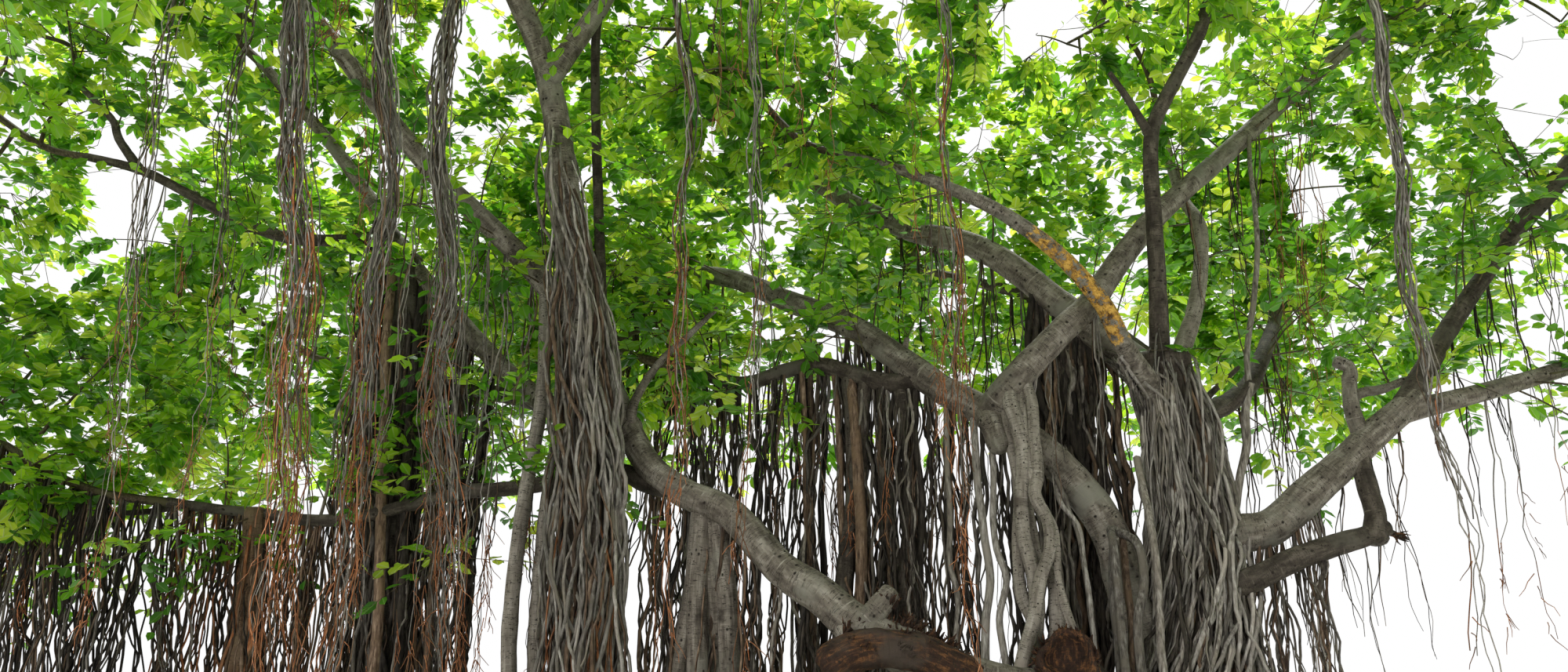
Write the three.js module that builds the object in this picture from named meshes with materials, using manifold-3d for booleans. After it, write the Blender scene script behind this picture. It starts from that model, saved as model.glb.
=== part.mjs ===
// A banyan: a leaning trunk, long crossing limbs, pillars and curtains of aerial
// roots, and a wide crown of leaf masses. Millimetres, +Z up, origin at the
// middle of the flat cut under the trunk, the open front of the crown towards -Y.

import * as THREE from 'three';
import Module from 'manifold-3d';

const wasm = await Module();
wasm.setup();

// Driving dimensions
const seatGap = 0.35; // clearance where a limb, root or stem meets what carries it
const facetAllowance = 1.3; // the trunk's facets and flutes lean, so its clearance is drawn wider
const trunkHeight = 4060;
const trunkBaseRadius = 900;
const trunkWaistRadius = 400;
const trunkTopRadius = 215;
const flareHeight = 620; // how quickly the root flare dies away upwards
const trunkTaperHeight = 3100;
const trunkTaperPower = 1.4;
const trunkLean = [[0, 0], [150, 30], [380, 60], [400, 110], [340, 120]]; // axis at even heights
const buttressCount = 7;
const buttressDepth = 0.26; // share of the radius at the ground
const buttressShape = { main: 0.7, uneven: 0.3, waves: 3 };
const fluteDepth = 0.07; // share of the radius at the top
const trunkSides = 21;
const trunkRingHeights = [0, 150, 450, 950, 1600, 2300, 3000, 3550, trunkHeight];
const collarSwell = 0.28; // how much thicker a limb is at its collar
const collarLength = 0.07; // share of the limb's length
const ringSpacing = 700;
const rootSides = 5;
const rootRings = 5;
const hangingRings = 7;
const limbTaper = 0.85; // under 1 a limb keeps its thickness for longer
const fluteShare = 0.13; // how deep a root pillar's flutes are
const fluteTwist = 3.5;
const footSharpness = 10; // how quickly a pillar's wide foot dies away upwards
const footDepth = 200; // roots run this far on before the ground plane cuts them flat
const bendSpacing = 900; // a root sways from bend to bend
const fewestBends = 4;
const swayWaves = { across: 9, deep: 7, deepShare: 0.5 }; // slow waves down a root, in radians
const strandPhase = 2.1; // neighbouring strands sway apart by this much
const hangingSway = 60;
const hangingPhase = 1.3;
const rootFlare = { share: 0.6, start: 0.955, sharpness: 40 }; // where a root widens at the ground
const bundleBelly = { least: 0.55, start: 0.2, tipPower: 0.35 }; // a hanging bundle swells, then thins
const leafReachShare = 0.57; // a leaf's length as a share of its mass's reach
const leafWidthShare = 0.5;
const leafThicknessShare = 0.03;
const leafWidestShare = 0.42;
const leafStalkRadius = 4; // thinner than its twig, so that its root is sunk right in
const twigRootRadius = 7;
const twigRadius = 20;
const twigSwellShare = 0.3; // where along it a twig is thickest
const twigTipRadius = 12;
const stemTipRadius = 30;
const stemThickness = 0.85; // share of the bough's tip
const stemLead = 0.3; // share of the way on which a stem keeps its bough's heading
const stemForks = [1 / 3, 2 / 3, 1];
const twigForkShare = 0.35; // a twig's own fork, as a share of its length
const sideLeaves = [[0.6, 0.95], [0.82, -0.95]]; // share of the twig's length, and turn to the side
const leafAim = { forward: 0.75, outward: 0.3, droop: 0.18, droopSpread: 0.25, roll: 1.2 };
const leafSize = { least: 0.85, spread: 0.3 };
const aimDepth = 0.44; // how far out in its mass's space a twig reaches
const aimSpread = 0.12;
const aimTurn = 0.5;
const seedStart = 1000;
const seedStep = 77;
const cellMargin = 0.035; // gap kept between two foliage masses, in shares of their reach
const limbClearance = 45; // gap kept between leaves or twigs and any limb or root
const obstacleStep = 300; // limbs and roots are tested as rows of balls this far apart
const groundSize = { half: 30000, depth: 4000 }; // the block that cuts roots flat at the ground
const goldenAngle = Math.PI * (3 - Math.sqrt(5));

const finish = {
  trunkBark: { color: 0x8d8478, roughness: 0.92 },
  limbBark: { color: 0x8a7f70, roughness: 0.9 },
  darkBark: { color: 0x5b5148, roughness: 0.93 },
  goldenBark: { color: 0xa5712d, roughness: 0.88 },
  paleRoot: { color: 0x9c958c, roughness: 0.88 },
  brownRoot: { color: 0x7d6752, roughness: 0.92 },
  leaf: { color: 0x4d8a22, roughness: 0.6 },
};

// Limbs, parents first. Each is one tapering limb through the few places where it
// bends, with the radius at its collar and at its tip.
const limbs = [
  { name: 'left_main_limb', bark: 'limbBark', radii: [155, 56], sides: 8,
    path: [[100, 0, 1300], [-150, 0, 2280], [-190, 0, 2530], [-330, 0, 2820], [-580, 20, 3150],
      [-860, 50, 3400], [-1150, 80, 3600], [-1440, 200, 3800], [-1760, 350, 4090], [-2150, 600, 4450],
      [-2620, 900, 4740], [-3250, 1400, 5150], [-4500, 2700, 5600]] },
  { name: 'crossing_limb', bark: 'limbBark', radii: [108, 56], sides: 8,
    path: [[-1090, 40, 3540], [-980, -100, 3700], [-750, -160, 3950], [-490, -150, 4210],
      [-270, -80, 4420], [10, 50, 4800], [340, 200, 5200], [690, 350, 5550], [1080, 500, 5900],
      [1940, 850, 6700], [3030, 1200, 7630], [3890, 1500, 8190]] },
  { name: 'rear_limb', bark: 'limbBark', radii: [136, 58], sides: 8,
    path: [[250, 150, 3850], [-10, 300, 4190], [-320, 420, 4520], [-530, 520, 4760], [-790, 650, 5040],
      [-1100, 800, 5280], [-1530, 1000, 5460], [-2360, 1400, 6080], [-3020, 1800, 6820]] },
  { name: 'golden_limb', bark: 'goldenBark', radii: [80, 36], sides: 8,
    path: [[200, 0, 3750], [-100, -300, 4040], [-240, -400, 4290], [-460, -420, 4590],
      [-690, -420, 4830], [-1040, -400, 5100], [-1370, -380, 5280], [-1670, -360, 5420],
      [-2250, -350, 5600]] },
  { name: 'upright_stem', bark: 'darkBark', radii: [70, 38], sides: 8,
    path: [[290, 60, 3950], [280, -80, 4470], [290, -130, 5190], [300, -150, 5660], [350, -160, 5950],
      [560, -200, 6350], [760, -250, 6720], [890, -300, 7060], [1420, -1600, 8000], [1950, -2500, 8150]] },
  { name: 'dead_fork', bark: 'darkBark', radii: [40, 22], sides: 6,
    path: [[320, -160, 5830], [130, -250, 6120], [-20, -300, 6340]] },
  { name: 'pale_stem', bark: 'paleRoot', radii: [74, 38], sides: 8,
    path: [[420, 160, 3900], [520, 220, 4100], [680, 300, 4430], [820, 420, 4840], [910, 550, 5320],
      [880, 850, 5750], [800, 1000, 6600]] },
  { name: 'right_bough', bark: 'limbBark', radii: [155, 100], sides: 8,
    path: [[230, 50, 2540], [540, 0, 2560], [730, -30, 2610], [980, -60, 2660], [1290, -100, 2920],
      [1580, -100, 3150], [1850, -100, 3380], [2200, -100, 3650]] },
  { name: 'right_high_bough', bark: 'darkBark', radii: [82, 44], sides: 8,
    path: [[2120, -90, 3600], [2520, 0, 4130], [2840, 100, 4500], [3160, 170, 4860], [3690, 300, 5450],
      [4110, 400, 5880], [4870, 600, 6620]] },
  { name: 'right_low_bough', bark: 'limbBark', radii: [80, 42], sides: 8,
    path: [[2060, -90, 3540], [2500, -100, 3640], [3430, -100, 3900], [4700, -200, 4350]] },
  { name: 'front_right_bough', bark: 'darkBark', radii: [60, 38], sides: 7,
    path: [[3340, 200, 5080], [4050, -500, 5900], [4750, -1500, 6600]] },
  { name: 'elbow_limb', bark: 'darkBark', radii: [104, 70], sides: 8,
    path: [[200, -60, 1950], [540, -150, 2190], [760, -200, 2270], [1040, -250, 2400],
      [1340, -250, 2500], [1590, -240, 2570], [1750, -230, 2640]] },
  { name: 'elbow_riser', bark: 'darkBark', radii: [80, 62], sides: 8,
    path: [[1660, -240, 2570], [1700, -220, 2740], [1690, -180, 2940], [1690, -140, 3130],
      [1730, -100, 3300]] },
  { name: 'low_limb', bark: 'limbBark', radii: [240, 150], sides: 8,
    path: [[0, -150, 950], [-530, -430, 1330], [-1270, -690, 1480], [-2050, -800, 1810]] },
  { name: 'great_limb', bark: 'limbBark', radii: [125, 56], sides: 8,
    path: [[-2000, -800, 1790], [-2220, -750, 1920], [-2430, -650, 2110], [-2700, -500, 2300],
      [-2840, -450, 2450], [-3110, -300, 2740], [-3450, -200, 2900], [-3710, -80, 3100],
      [-3890, 0, 3380], [-4030, 50, 3670], [-4180, 100, 4040], [-4350, 100, 4340], [-4600, 50, 4590],
      [-4990, -50, 5000], [-5490, -200, 5450], [-5920, -400, 5940], [-6270, -600, 6400],
      [-7010, -1000, 7220]] },
  { name: 'second_limb', bark: 'limbBark', radii: [98, 44], sides: 8,
    path: [[-3900, 20, 3420], [-4690, 500, 3750], [-5870, 800, 4940], [-6770, 900, 6160],
      [-7600, 900, 7100]] },
  { name: 'third_limb', bark: 'darkBark', radii: [70, 38], sides: 7,
    path: [[-3550, -160, 2940], [-3780, -20, 3010], [-3940, 100, 3100], [-4310, 250, 3130],
      [-4640, 350, 3050], [-4970, 420, 3020], [-5320, 450, 3000], [-5710, 500, 2910],
      [-6110, 500, 2810], [-6480, 500, 2780], [-6930, 500, 2840], [-7290, 450, 2870],
      [-7570, 300, 2900]] },
  { name: 'far_left_bough', bark: 'darkBark', radii: [58, 34], sides: 7,
    path: [[-6150, 820, 5320], [-7180, 820, 5340], [-8520, 800, 5970], [-9000, 750, 6080]] },
  { name: 'back_left_bough', bark: 'darkBark', radii: [80, 42], sides: 7,
    path: [[-4690, 500, 3760], [-5600, 1700, 4150], [-7000, 2900, 4700], [-7500, 3300, 4850]] },
  { name: 'back_middle_bough', bark: 'darkBark', radii: [110, 50], sides: 8,
    path: [[300, 120, 3300], [720, 1300, 4200], [200, 2500, 5200], [-700, 3100, 5700]] },
  { name: 'back_right_bough', bark: 'darkBark', radii: [100, 48], sides: 8,
    path: [[380, 110, 3100], [760, 500, 3640], [1080, 800, 3810], [1390, 1050, 4040],
      [1720, 1450, 4440], [2500, 2800, 5300]] },
  { name: 'side_limb', bark: 'darkBark', radii: [80, 46], sides: 8,
    path: [[-1580, 270, 3920], [-1800, 360, 3880], [-2110, 500, 3990], [-2400, 620, 4100],
      [-2700, 700, 4070], [-3040, 800, 3990], [-3700, 1000, 4200]] },
];

// The left pillar is a second trunk that grew from roots: it carries two boughs.
const pillarBoughs = [
  { name: 'pillar_bough', bark: 'limbBark', radii: [128, 46], sides: 8,
    path: [[-4250, -330, 4060], [-4420, -380, 5220], [-4700, -420, 6500], [-5220, -1200, 7350],
      [-5860, -2050, 7750], [-5950, -2900, 7850]] },
  { name: 'pillar_fork', bark: 'limbBark', radii: [80, 42], sides: 8,
    path: [[-4600, -410, 6250], [-4210, -500, 6830], [-3570, -1350, 7500], [-1660, -1550, 7900],
      [-1350, -2450, 7980]] },
];

// Pillars of roots that have grown together: the line up the middle, and the
// radius at the foot, a quarter of the way up, and at the top.
const rootPillars = [
  { name: 'root_pillar', bark: 'paleRoot', radii: [400, 265, 150], flutes: 5, sides: 15, rings: 7,
    path: [[-4100, -360, 0], [-4130, -360, 1600], [-4160, -350, 3000], [-4250, -330, 4060]] },
  { name: 'dark_root_pillar', bark: 'darkBark', radii: [330, 235, 120], flutes: 4, sides: 12, rings: 5,
    path: [[-5860, 830, 0], [-5950, 830, 2400], [-6020, 825, 5120]] },
  { name: 'brown_root_pillar', bark: 'brownRoot', radii: [250, 165, 85], flutes: 4, sides: 12, rings: 3,
    path: [[-6900, 560, 0], [-6920, 530, 1500], [-6950, 500, 2845]] },
  { name: 'rear_root_pillar', bark: 'darkBark', radii: [260, 190, 110], flutes: 4, sides: 12, rings: 5,
    path: [[-340, 720, 0], [-330, 640, 2400], [-300, 430, 4500]] },
];

// Aerial roots that reached the ground, each line a strand of a bundle: where it
// leaves its limb, where it stands and its radius at both ends.
const rootBundles = [
  { name: 'twin_root_left', bark: 'paleRoot', sway: 50,
    strands: [{ top: [-4630, 30, 4600], foot: [-4700, -200, 0], radii: [48, 66] }] },
  { name: 'twin_root_right', bark: 'paleRoot', sway: 40,
    strands: [{ top: [-4500, 60, 4460], foot: [-4520, -60, 0], radii: [44, 58] }] },
  { name: 'centre_root_curtain', bark: 'darkBark', sway: 60,
    strands: [-210, -70, 70, 210].map((shift, k) => ({
      top: [-1960 + shift, 430 - shift * 0.45, 3950 - shift * 0.25],
      foot: [-1950 + shift * 1.3, 450 + 50 * (k % 2), 0],
      radii: [54, 92],
    })) },
  { name: 'cone_roots', bark: 'darkBark', sway: 30,
    strands: [-300, -90, 110, 300].map((spread, k) => ({
      top: [-3270 + spread * 0.15, -230, 2820],
      foot: [-3250 + spread * 1.3, 60 - 260 * (k % 2), 0],
      radii: [72, 92],
    })) },
  { name: 'strangler_roots', bark: 'paleRoot', sway: 85,
    strands: [-90, 0, 95].map((shift, k) => ({
      top: [-980 + shift * 0.4, -60, 3660],
      foot: [-900 + shift * 1.9, -520 - 50 * (k % 2), 0],
      radii: [54, 74],
    })) },
];

// Bundles of aerial roots that still hang free, from the boughs above the view.
const hangingRoots = [
  { name: 'hanging_roots_1', top: [-5850, -2030, 7760], foot: [-5640, -2000, 750], radii: [95, 26] },
  { name: 'hanging_roots_2', top: [-5560, -1640, 7560], foot: [-5380, -1600, 850], radii: [85, 24] },
  { name: 'hanging_roots_3', top: [-5190, -1160, 7330], foot: [-4900, -1180, 800], radii: [80, 24] },
  { name: 'hanging_roots_4', top: [-3540, -1350, 7510], foot: [-3460, -1400, 1150], radii: [46, 18] },
  { name: 'hanging_roots_5', top: [-2990, -1440, 7655], foot: [-2880, -1500, 950], radii: [48, 18] },
  { name: 'hanging_roots_6', top: [-1700, -1610, 7895], foot: [-1490, -1500, 1050], radii: [46, 18] },
  { name: 'hanging_roots_7', top: [1420, -1590, 7980], foot: [1660, -1600, 900], radii: [64, 20] },
];

// Foliage masses: the bough whose tip the stem leaves, the middle of the space
// and how far it reaches each way, and how many twigs share it.
const masses = [
  { name: 'foliage_back_far_left', bough: 'back_left_bough', twigs: 7,
    centre: [-8900, 3900, 5600], reach: [2500, 2500, 2300] },
  { name: 'foliage_back_left', bough: 'left_main_limb', twigs: 8,
    centre: [-5300, 4600, 6500], reach: [2600, 2700, 2600] },
  { name: 'foliage_back_middle', bough: 'back_middle_bough', twigs: 8,
    centre: [-900, 4900, 6900], reach: [2700, 2500, 2800] },
  { name: 'foliage_back_right', bough: 'back_right_bough', twigs: 8,
    centre: [3400, 4400, 6500], reach: [2600, 2600, 2800] },
  { name: 'foliage_far_left', bough: 'far_left_bough', twigs: 7,
    centre: [-10000, 200, 6600], reach: [1900, 2500, 2100] },
  { name: 'foliage_low_left', bough: 'third_limb', twigs: 5,
    centre: [-9200, 300, 3500], reach: [2000, 2100, 1300] },
  { name: 'foliage_upper_left', bough: 'second_limb', twigs: 7,
    centre: [-7800, 900, 8300], reach: [2400, 2400, 2000] },
  { name: 'foliage_high_middle', bough: 'rear_limb', twigs: 7,
    centre: [-4000, 900, 8300], reach: [2500, 2300, 2150] },
  { name: 'foliage_high_centre', bough: 'pale_stem', twigs: 7,
    centre: [-200, 500, 8300], reach: [2500, 2300, 2150] },
  { name: 'foliage_high_right', bough: 'crossing_limb', twigs: 6,
    centre: [4100, 900, 8500], reach: [2500, 2300, 2050] },
  { name: 'foliage_right', bough: 'right_high_bough', twigs: 7,
    centre: [6000, 600, 6500], reach: [2000, 2200, 2200] },
  { name: 'foliage_low_right', bough: 'right_low_bough', twigs: 5,
    centre: [5900, -600, 4200], reach: [1800, 1900, 1250] },
  { name: 'foliage_front_far_left', bough: 'great_limb', twigs: 6,
    centre: [-8300, -2600, 7600], reach: [2300, 2300, 2100] },
  { name: 'foliage_front_left', bough: 'pillar_bough', twigs: 7,
    centre: [-5500, -4500, 7700], reach: [2500, 2300, 2000] },
  { name: 'foliage_front_middle', bough: 'pillar_fork', twigs: 7,
    centre: [-1300, -4200, 7900], reach: [2600, 2300, 2000] },
  { name: 'foliage_front_right', bough: 'upright_stem', twigs: 7,
    centre: [2700, -3900, 7900], reach: [2500, 2300, 2000] },
  { name: 'foliage_right_front', bough: 'front_right_bough', twigs: 6,
    centre: [5700, -2900, 6900], reach: [2100, 2200, 2100] },
  { name: 'foliage_inner_left', bough: 'side_limb', twigs: 4,
    centre: [-4400, 1900, 4700], reach: [1500, 1300, 1100] },
  { name: 'foliage_inner_centre', bough: 'golden_limb', twigs: 4,
    centre: [-2900, -100, 6200], reach: [1450, 1100, 1050] },
];

const tree = new THREE.Group();
const placed = new Map(); // every limb and root by name: its swollen copy and its centre line

function point([x, y, z]) {
  return new THREE.Vector3(x, y, z);
}

function randomFrom(seed) {
  let state = seed;
  return () => {
    state = (state * 1664525 + 1013904223) % 4294967296;
    return state / 4294967296;
  };
}

function solidOf(corners, faces) {
  const vertProperties = new Float32Array(corners.flatMap((corner) => [corner.x, corner.y, corner.z]));
  const triVerts = new Uint32Array(faces.flat());
  return new wasm.Manifold(new wasm.Mesh({ numProp: 3, vertProperties, triVerts }));
}

// Side walls and two flat ends for rings of corners laid one after another.
function ringFaces(ringCount, sides) {
  const faces = [];
  for (let ring = 0; ring < ringCount - 1; ring += 1) {
    for (let k = 0; k < sides; k += 1) {
      const next = (k + 1) % sides;
      const lower = ring * sides;
      const upper = lower + sides;
      faces.push([lower + k, lower + next, upper + next]);
      faces.push([lower + k, upper + next, upper + k]);
    }
  }
  const last = (ringCount - 1) * sides;
  for (let k = 1; k < sides - 1; k += 1) {
    faces.push([0, k + 1, k]);
    faces.push([last, last + k, last + k + 1]);
  }
  return faces;
}

// A closed tube round a curve whose radius is a function of the share of its
// length. swell widens it all round, and past both ends, by a clearance, and
// ridge flutes it by the share of its length and the turn round it.
function tube(curve, radiusAt, sides, rings, swell = 0, ridge = () => 1) {
  const frames = curve.computeFrenetFrames(rings, false);
  const corners = [];
  for (let ring = 0; ring <= rings; ring += 1) {
    const share = ring / rings;
    const centre = curve.getPointAt(share);
    if (ring === 0) centre.addScaledVector(frames.tangents[0], -swell);
    if (ring === rings) centre.addScaledVector(frames.tangents[rings], swell);
    for (let k = 0; k < sides; k += 1) {
      const turn = (2 * Math.PI * k) / sides;
      const radius = radiusAt(share) * ridge(share, turn) + swell / Math.cos(Math.PI / sides);
      const corner = centre.clone();
      corner.addScaledVector(frames.normals[ring], radius * Math.cos(turn));
      corner.addScaledVector(frames.binormals[ring], radius * Math.sin(turn));
      corners.push(corner);
    }
  }
  return solidOf(corners, ringFaces(rings + 1, sides));
}

function largestPiece(solid) {
  const pieces = solid.decompose();
  return pieces.reduce((best, piece) => (piece.volume() > best.volume() ? piece : best));
}

function joined(solids) {
  let row = solids;
  while (row.length > 1) {
    const next = [];
    for (let k = 0; k < row.length; k += 2) {
      next.push(k + 1 < row.length ? row[k].add(row[k + 1]) : row[k]);
    }
    row = next;
  }
  return row[0];
}

function addMesh(name, solid, look) {
  const { vertProperties, triVerts } = solid.getMesh();
  const geometry = new THREE.BufferGeometry();
  geometry.setAttribute('position', new THREE.BufferAttribute(new Float32Array(vertProperties), 3));
  geometry.setIndex(new THREE.BufferAttribute(new Uint32Array(triVerts), 1));
  geometry.computeVertexNormals();
  const mesh = new THREE.Mesh(geometry, new THREE.MeshStandardMaterial({ ...finish[look], metalness: 0 }));
  mesh.name = name;
  tree.add(mesh);
}

const groundBlock = (() => {
  const { half, depth } = groundSize;
  const corners = [-depth, 0].flatMap((z) => [[-1, -1], [1, -1], [1, 1], [-1, 1]].map(([x, y]) => (
    new THREE.Vector3(x * half, y * half, z)
  )));
  return solidOf(corners, ringFaces(2, 4));
})();

// Puts a limb or root in the tree, cut clear of everything placed before it.
// shape(swell) makes its solid, and centreLines are its curves with their radii.
function place(name, bark, shape, centreLines) {
  let solid = shape(0);
  for (const other of placed.values()) {
    solid = solid.subtract(other.swollen);
  }
  solid = largestPiece(solid.subtract(groundBlock));
  placed.set(name, { swollen: shape(seatGap), centreLines });
  addMesh(name, solid, bark);
}

// Trunk

function trunkAxis(height) {
  const lean = new THREE.CatmullRomCurve3(
    trunkLean.map(([x, y], k) => new THREE.Vector3(x, y, (trunkHeight * k) / (trunkLean.length - 1))),
  );
  return lean.getPoint(height / trunkHeight);
}

function trunkRadius(height) {
  const taper = Math.min(height / trunkTaperHeight, 1);
  const column = trunkWaistRadius + (trunkTopRadius - trunkWaistRadius) * taper ** trunkTaperPower;
  return column + (trunkBaseRadius - trunkWaistRadius) * Math.exp(-height / flareHeight);
}

function makeTrunk() {
  const shape = (swell) => {
    const corners = trunkRingHeights.flatMap((height, ring) => {
      const axis = trunkAxis(height);
      const rise = height / trunkHeight;
      const depth = fluteDepth + (buttressDepth - fluteDepth) * Math.exp(-height / flareHeight);
      const last = ring === trunkRingHeights.length - 1;
      return Array.from({ length: trunkSides }, (_, k) => {
        const turn = (2 * Math.PI * k) / trunkSides;
        const ridge = Math.cos(buttressCount * turn) * buttressShape.main
          + Math.cos(buttressShape.waves * turn + 1) * buttressShape.uneven;
        const radius = trunkRadius(height) * (1 + depth * ridge) + swell * facetAllowance;
        const z = height + (last ? swell : 0);
        return new THREE.Vector3(
          axis.x * (height > 0 ? 1 : 0) + radius * Math.cos(turn + rise),
          axis.y * (height > 0 ? 1 : 0) + radius * Math.sin(turn + rise),
          z,
        );
      });
    });
    return solidOf(corners, ringFaces(trunkRingHeights.length, trunkSides));
  };
  const line = new THREE.CatmullRomCurve3(trunkRingHeights.map((height) => trunkAxis(height)));
  const radiusAt = (share) => trunkRadius(share * trunkHeight);
  place('trunk', 'trunkBark', shape, [{ curve: line, radiusAt }]);
}

// Limbs

function limbLine({ path, radii: [collar, tip] }) {
  const curve = new THREE.CatmullRomCurve3(path.map(point), false, 'centripetal');
  const radiusAt = (share) => {
    const swelling = 1 + collarSwell * Math.exp(-share / collarLength);
    return (tip + (collar - tip) * (1 - share) ** limbTaper) * swelling;
  };
  return { curve, radiusAt };
}

function makeLimb(limb) {
  const { curve, radiusAt } = limbLine(limb);
  const rings = Math.max(4, Math.round(curve.getLength() / ringSpacing));
  const shape = (swell) => tube(curve, radiusAt, limb.sides, rings, swell);
  place(limb.name, limb.bark, shape, [{ curve, radiusAt }]);
}

// Roots

// A root's way down: straight in the main, with a slow sway to both sides.
function rootCurve(top, foot, sway, phase) {
  const start = point(top);
  const end = point(foot);
  const bends = Math.max(fewestBends, Math.round(start.distanceTo(end) / bendSpacing));
  const points = Array.from({ length: bends + 1 }, (_, k) => {
    const share = k / bends;
    const swing = sway * Math.sin((Math.PI / 2) * Math.min(1, share * fewestBends));
    return start.clone().lerp(end, share).add(new THREE.Vector3(
      swing * Math.sin(share * swayWaves.across + phase),
      swing * swayWaves.deepShare * Math.cos(share * swayWaves.deep + phase * 2),
      0,
    ));
  });
  return new THREE.CatmullRomCurve3(points, false, 'centripetal');
}

function makeRootBundle({ name, bark, sway, strands }) {
  const flare = (share) => 1
    + rootFlare.share * share * Math.exp((share - rootFlare.start) * rootFlare.sharpness);
  const lines = strands.map(({ top, foot, radii: [upper, lower] }, k) => ({
    curve: rootCurve(top, [foot[0], foot[1], foot[2] - footDepth], sway, k * strandPhase),
    radiusAt: (share) => (upper + (lower - upper) * share) * flare(share),
  }));
  const shape = (swell) => joined(lines.map(({ curve, radiusAt }) => (
    tube(curve, radiusAt, rootSides, rootRings, swell)
  )));
  place(name, bark, shape, lines);
}

function makePillar({ name, bark, path, radii: [foot, waist, top], flutes, sides, rings }) {
  const [x, y, z] = path[0];
  const curve = new THREE.CatmullRomCurve3([[x, y, z - footDepth], ...path.slice(1)].map(point));
  const radiusAt = (share) => top + (waist - top) * (1 - share)
    + (foot - waist) * Math.exp(-share * footSharpness);
  const ridge = (share, turn) => 1 + fluteShare * Math.cos(flutes * turn + share * fluteTwist);
  place(name, bark, (swell) => tube(curve, radiusAt, sides, rings, swell, ridge), [{ curve, radiusAt }]);
}

function makeHangingRoot({ name, top, foot, radii: [upper, lower] }, order) {
  const curve = rootCurve(top, foot, hangingSway, order * hangingPhase);
  const { least, start, tipPower } = bundleBelly;
  const belly = (share) => least + (1 - least) * Math.sin(Math.PI * (start + share * (1 - start)));
  const radiusAt = (share) => lower + (upper - lower) * belly(share) * (1 - share) ** tipPower;
  const shape = (swell) => tube(curve, radiusAt, rootSides, hangingRings, swell);
  place(name, 'brownRoot', shape, [{ curve, radiusAt }]);
}

// Foliage

// How far out in a mass's space a place lies: 0 in its middle, 1 at its skin.
function depthIn(mass, place3) {
  const [x, y, z] = mass.centre;
  const [rx, ry, rz] = mass.reach;
  return Math.hypot((place3.x - x) / rx, (place3.y - y) / ry, (place3.z - z) / rz);
}

function inOwnSpace(mass, place3) {
  const own = depthIn(mass, place3);
  if (own > 1) return false;
  return masses.every((other) => other === mass || depthIn(other, place3) > own + cellMargin);
}

function obstacleBalls(names) {
  return names.flatMap((name) => placed.get(name).centreLines.flatMap(({ curve, radiusAt }) => {
    const count = Math.ceil(curve.getLength() / obstacleStep);
    return Array.from({ length: count + 1 }, (_, k) => ({
      centre: curve.getPointAt(k / count),
      radius: radiusAt(k / count) + obstacleStep / 4,
    }));
  }));
}

function isClear(balls, from, to, halfWidth) {
  const line = new THREE.Line3(from, to);
  const nearest = new THREE.Vector3();
  return balls.every(({ centre, radius }) => {
    line.closestPointToPoint(centre, true, nearest);
    return nearest.distanceTo(centre) > radius + halfWidth + limbClearance;
  });
}

// A leaf's three-cornered blade, flat above and keeled below at its widest, then
// its tip. side points across the blade.
function bladeCorners(root, direction, side, length) {
  const up = new THREE.Vector3().crossVectors(direction, side).normalize();
  const middle = root.clone().addScaledVector(direction, leafWidestShare * length);
  const half = (leafWidthShare * length) / 2;
  return [
    middle.clone().addScaledVector(side, half),
    middle.clone().addScaledVector(side, -half),
    middle.clone().addScaledVector(up, -leafThicknessShare * length),
    root.clone().addScaledVector(direction, length),
  ];
}

// Walls for rings of three corners laid one after another, closed by a point.
function pointedFaces(ringCount) {
  const faces = [[0, 2, 1]];
  for (let ring = 0; ring < ringCount; ring += 1) {
    for (let k = 0; k < 3; k += 1) {
      const next = (k + 1) % 3;
      const lower = ring * 3;
      if (ring < ringCount - 1) {
        faces.push([lower + k, lower + next, lower + 3 + next]);
        faces.push([lower + k, lower + 3 + next, lower + 3 + k]);
      } else {
        faces.push([lower + k, lower + next, lower + 3]);
      }
    }
  }
  return faces;
}

function threeRound(centre, direction, side, radius) {
  const up = new THREE.Vector3().crossVectors(direction, side).normalize();
  return [[1, 0.35], [-1, 0.35], [0, -1]].map(([across, above]) => (
    centre.clone().addScaledVector(side, across * radius).addScaledVector(up, above * radius)
  ));
}

// Evenly spread aims inside a mass: a golden-angle spiral on its inner shells.
function aimsIn(mass, random) {
  return Array.from({ length: mass.twigs }, (_, k) => {
    const rise = 1 - (2 * (k + 0.5)) / mass.twigs;
    const round = Math.sqrt(1 - rise * rise);
    const turn = k * goldenAngle + random() * aimTurn;
    const depth = aimDepth + aimSpread * random();
    return new THREE.Vector3(
      mass.centre[0] + mass.reach[0] * depth * round * Math.cos(turn),
      mass.centre[1] + mass.reach[1] * depth * round * Math.sin(turn),
      mass.centre[2] + mass.reach[2] * depth * rise,
    );
  });
}

function acrossOf(direction) {
  return new THREE.Vector3().crossVectors(direction, new THREE.Vector3(0, 0, 1)).normalize();
}

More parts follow.
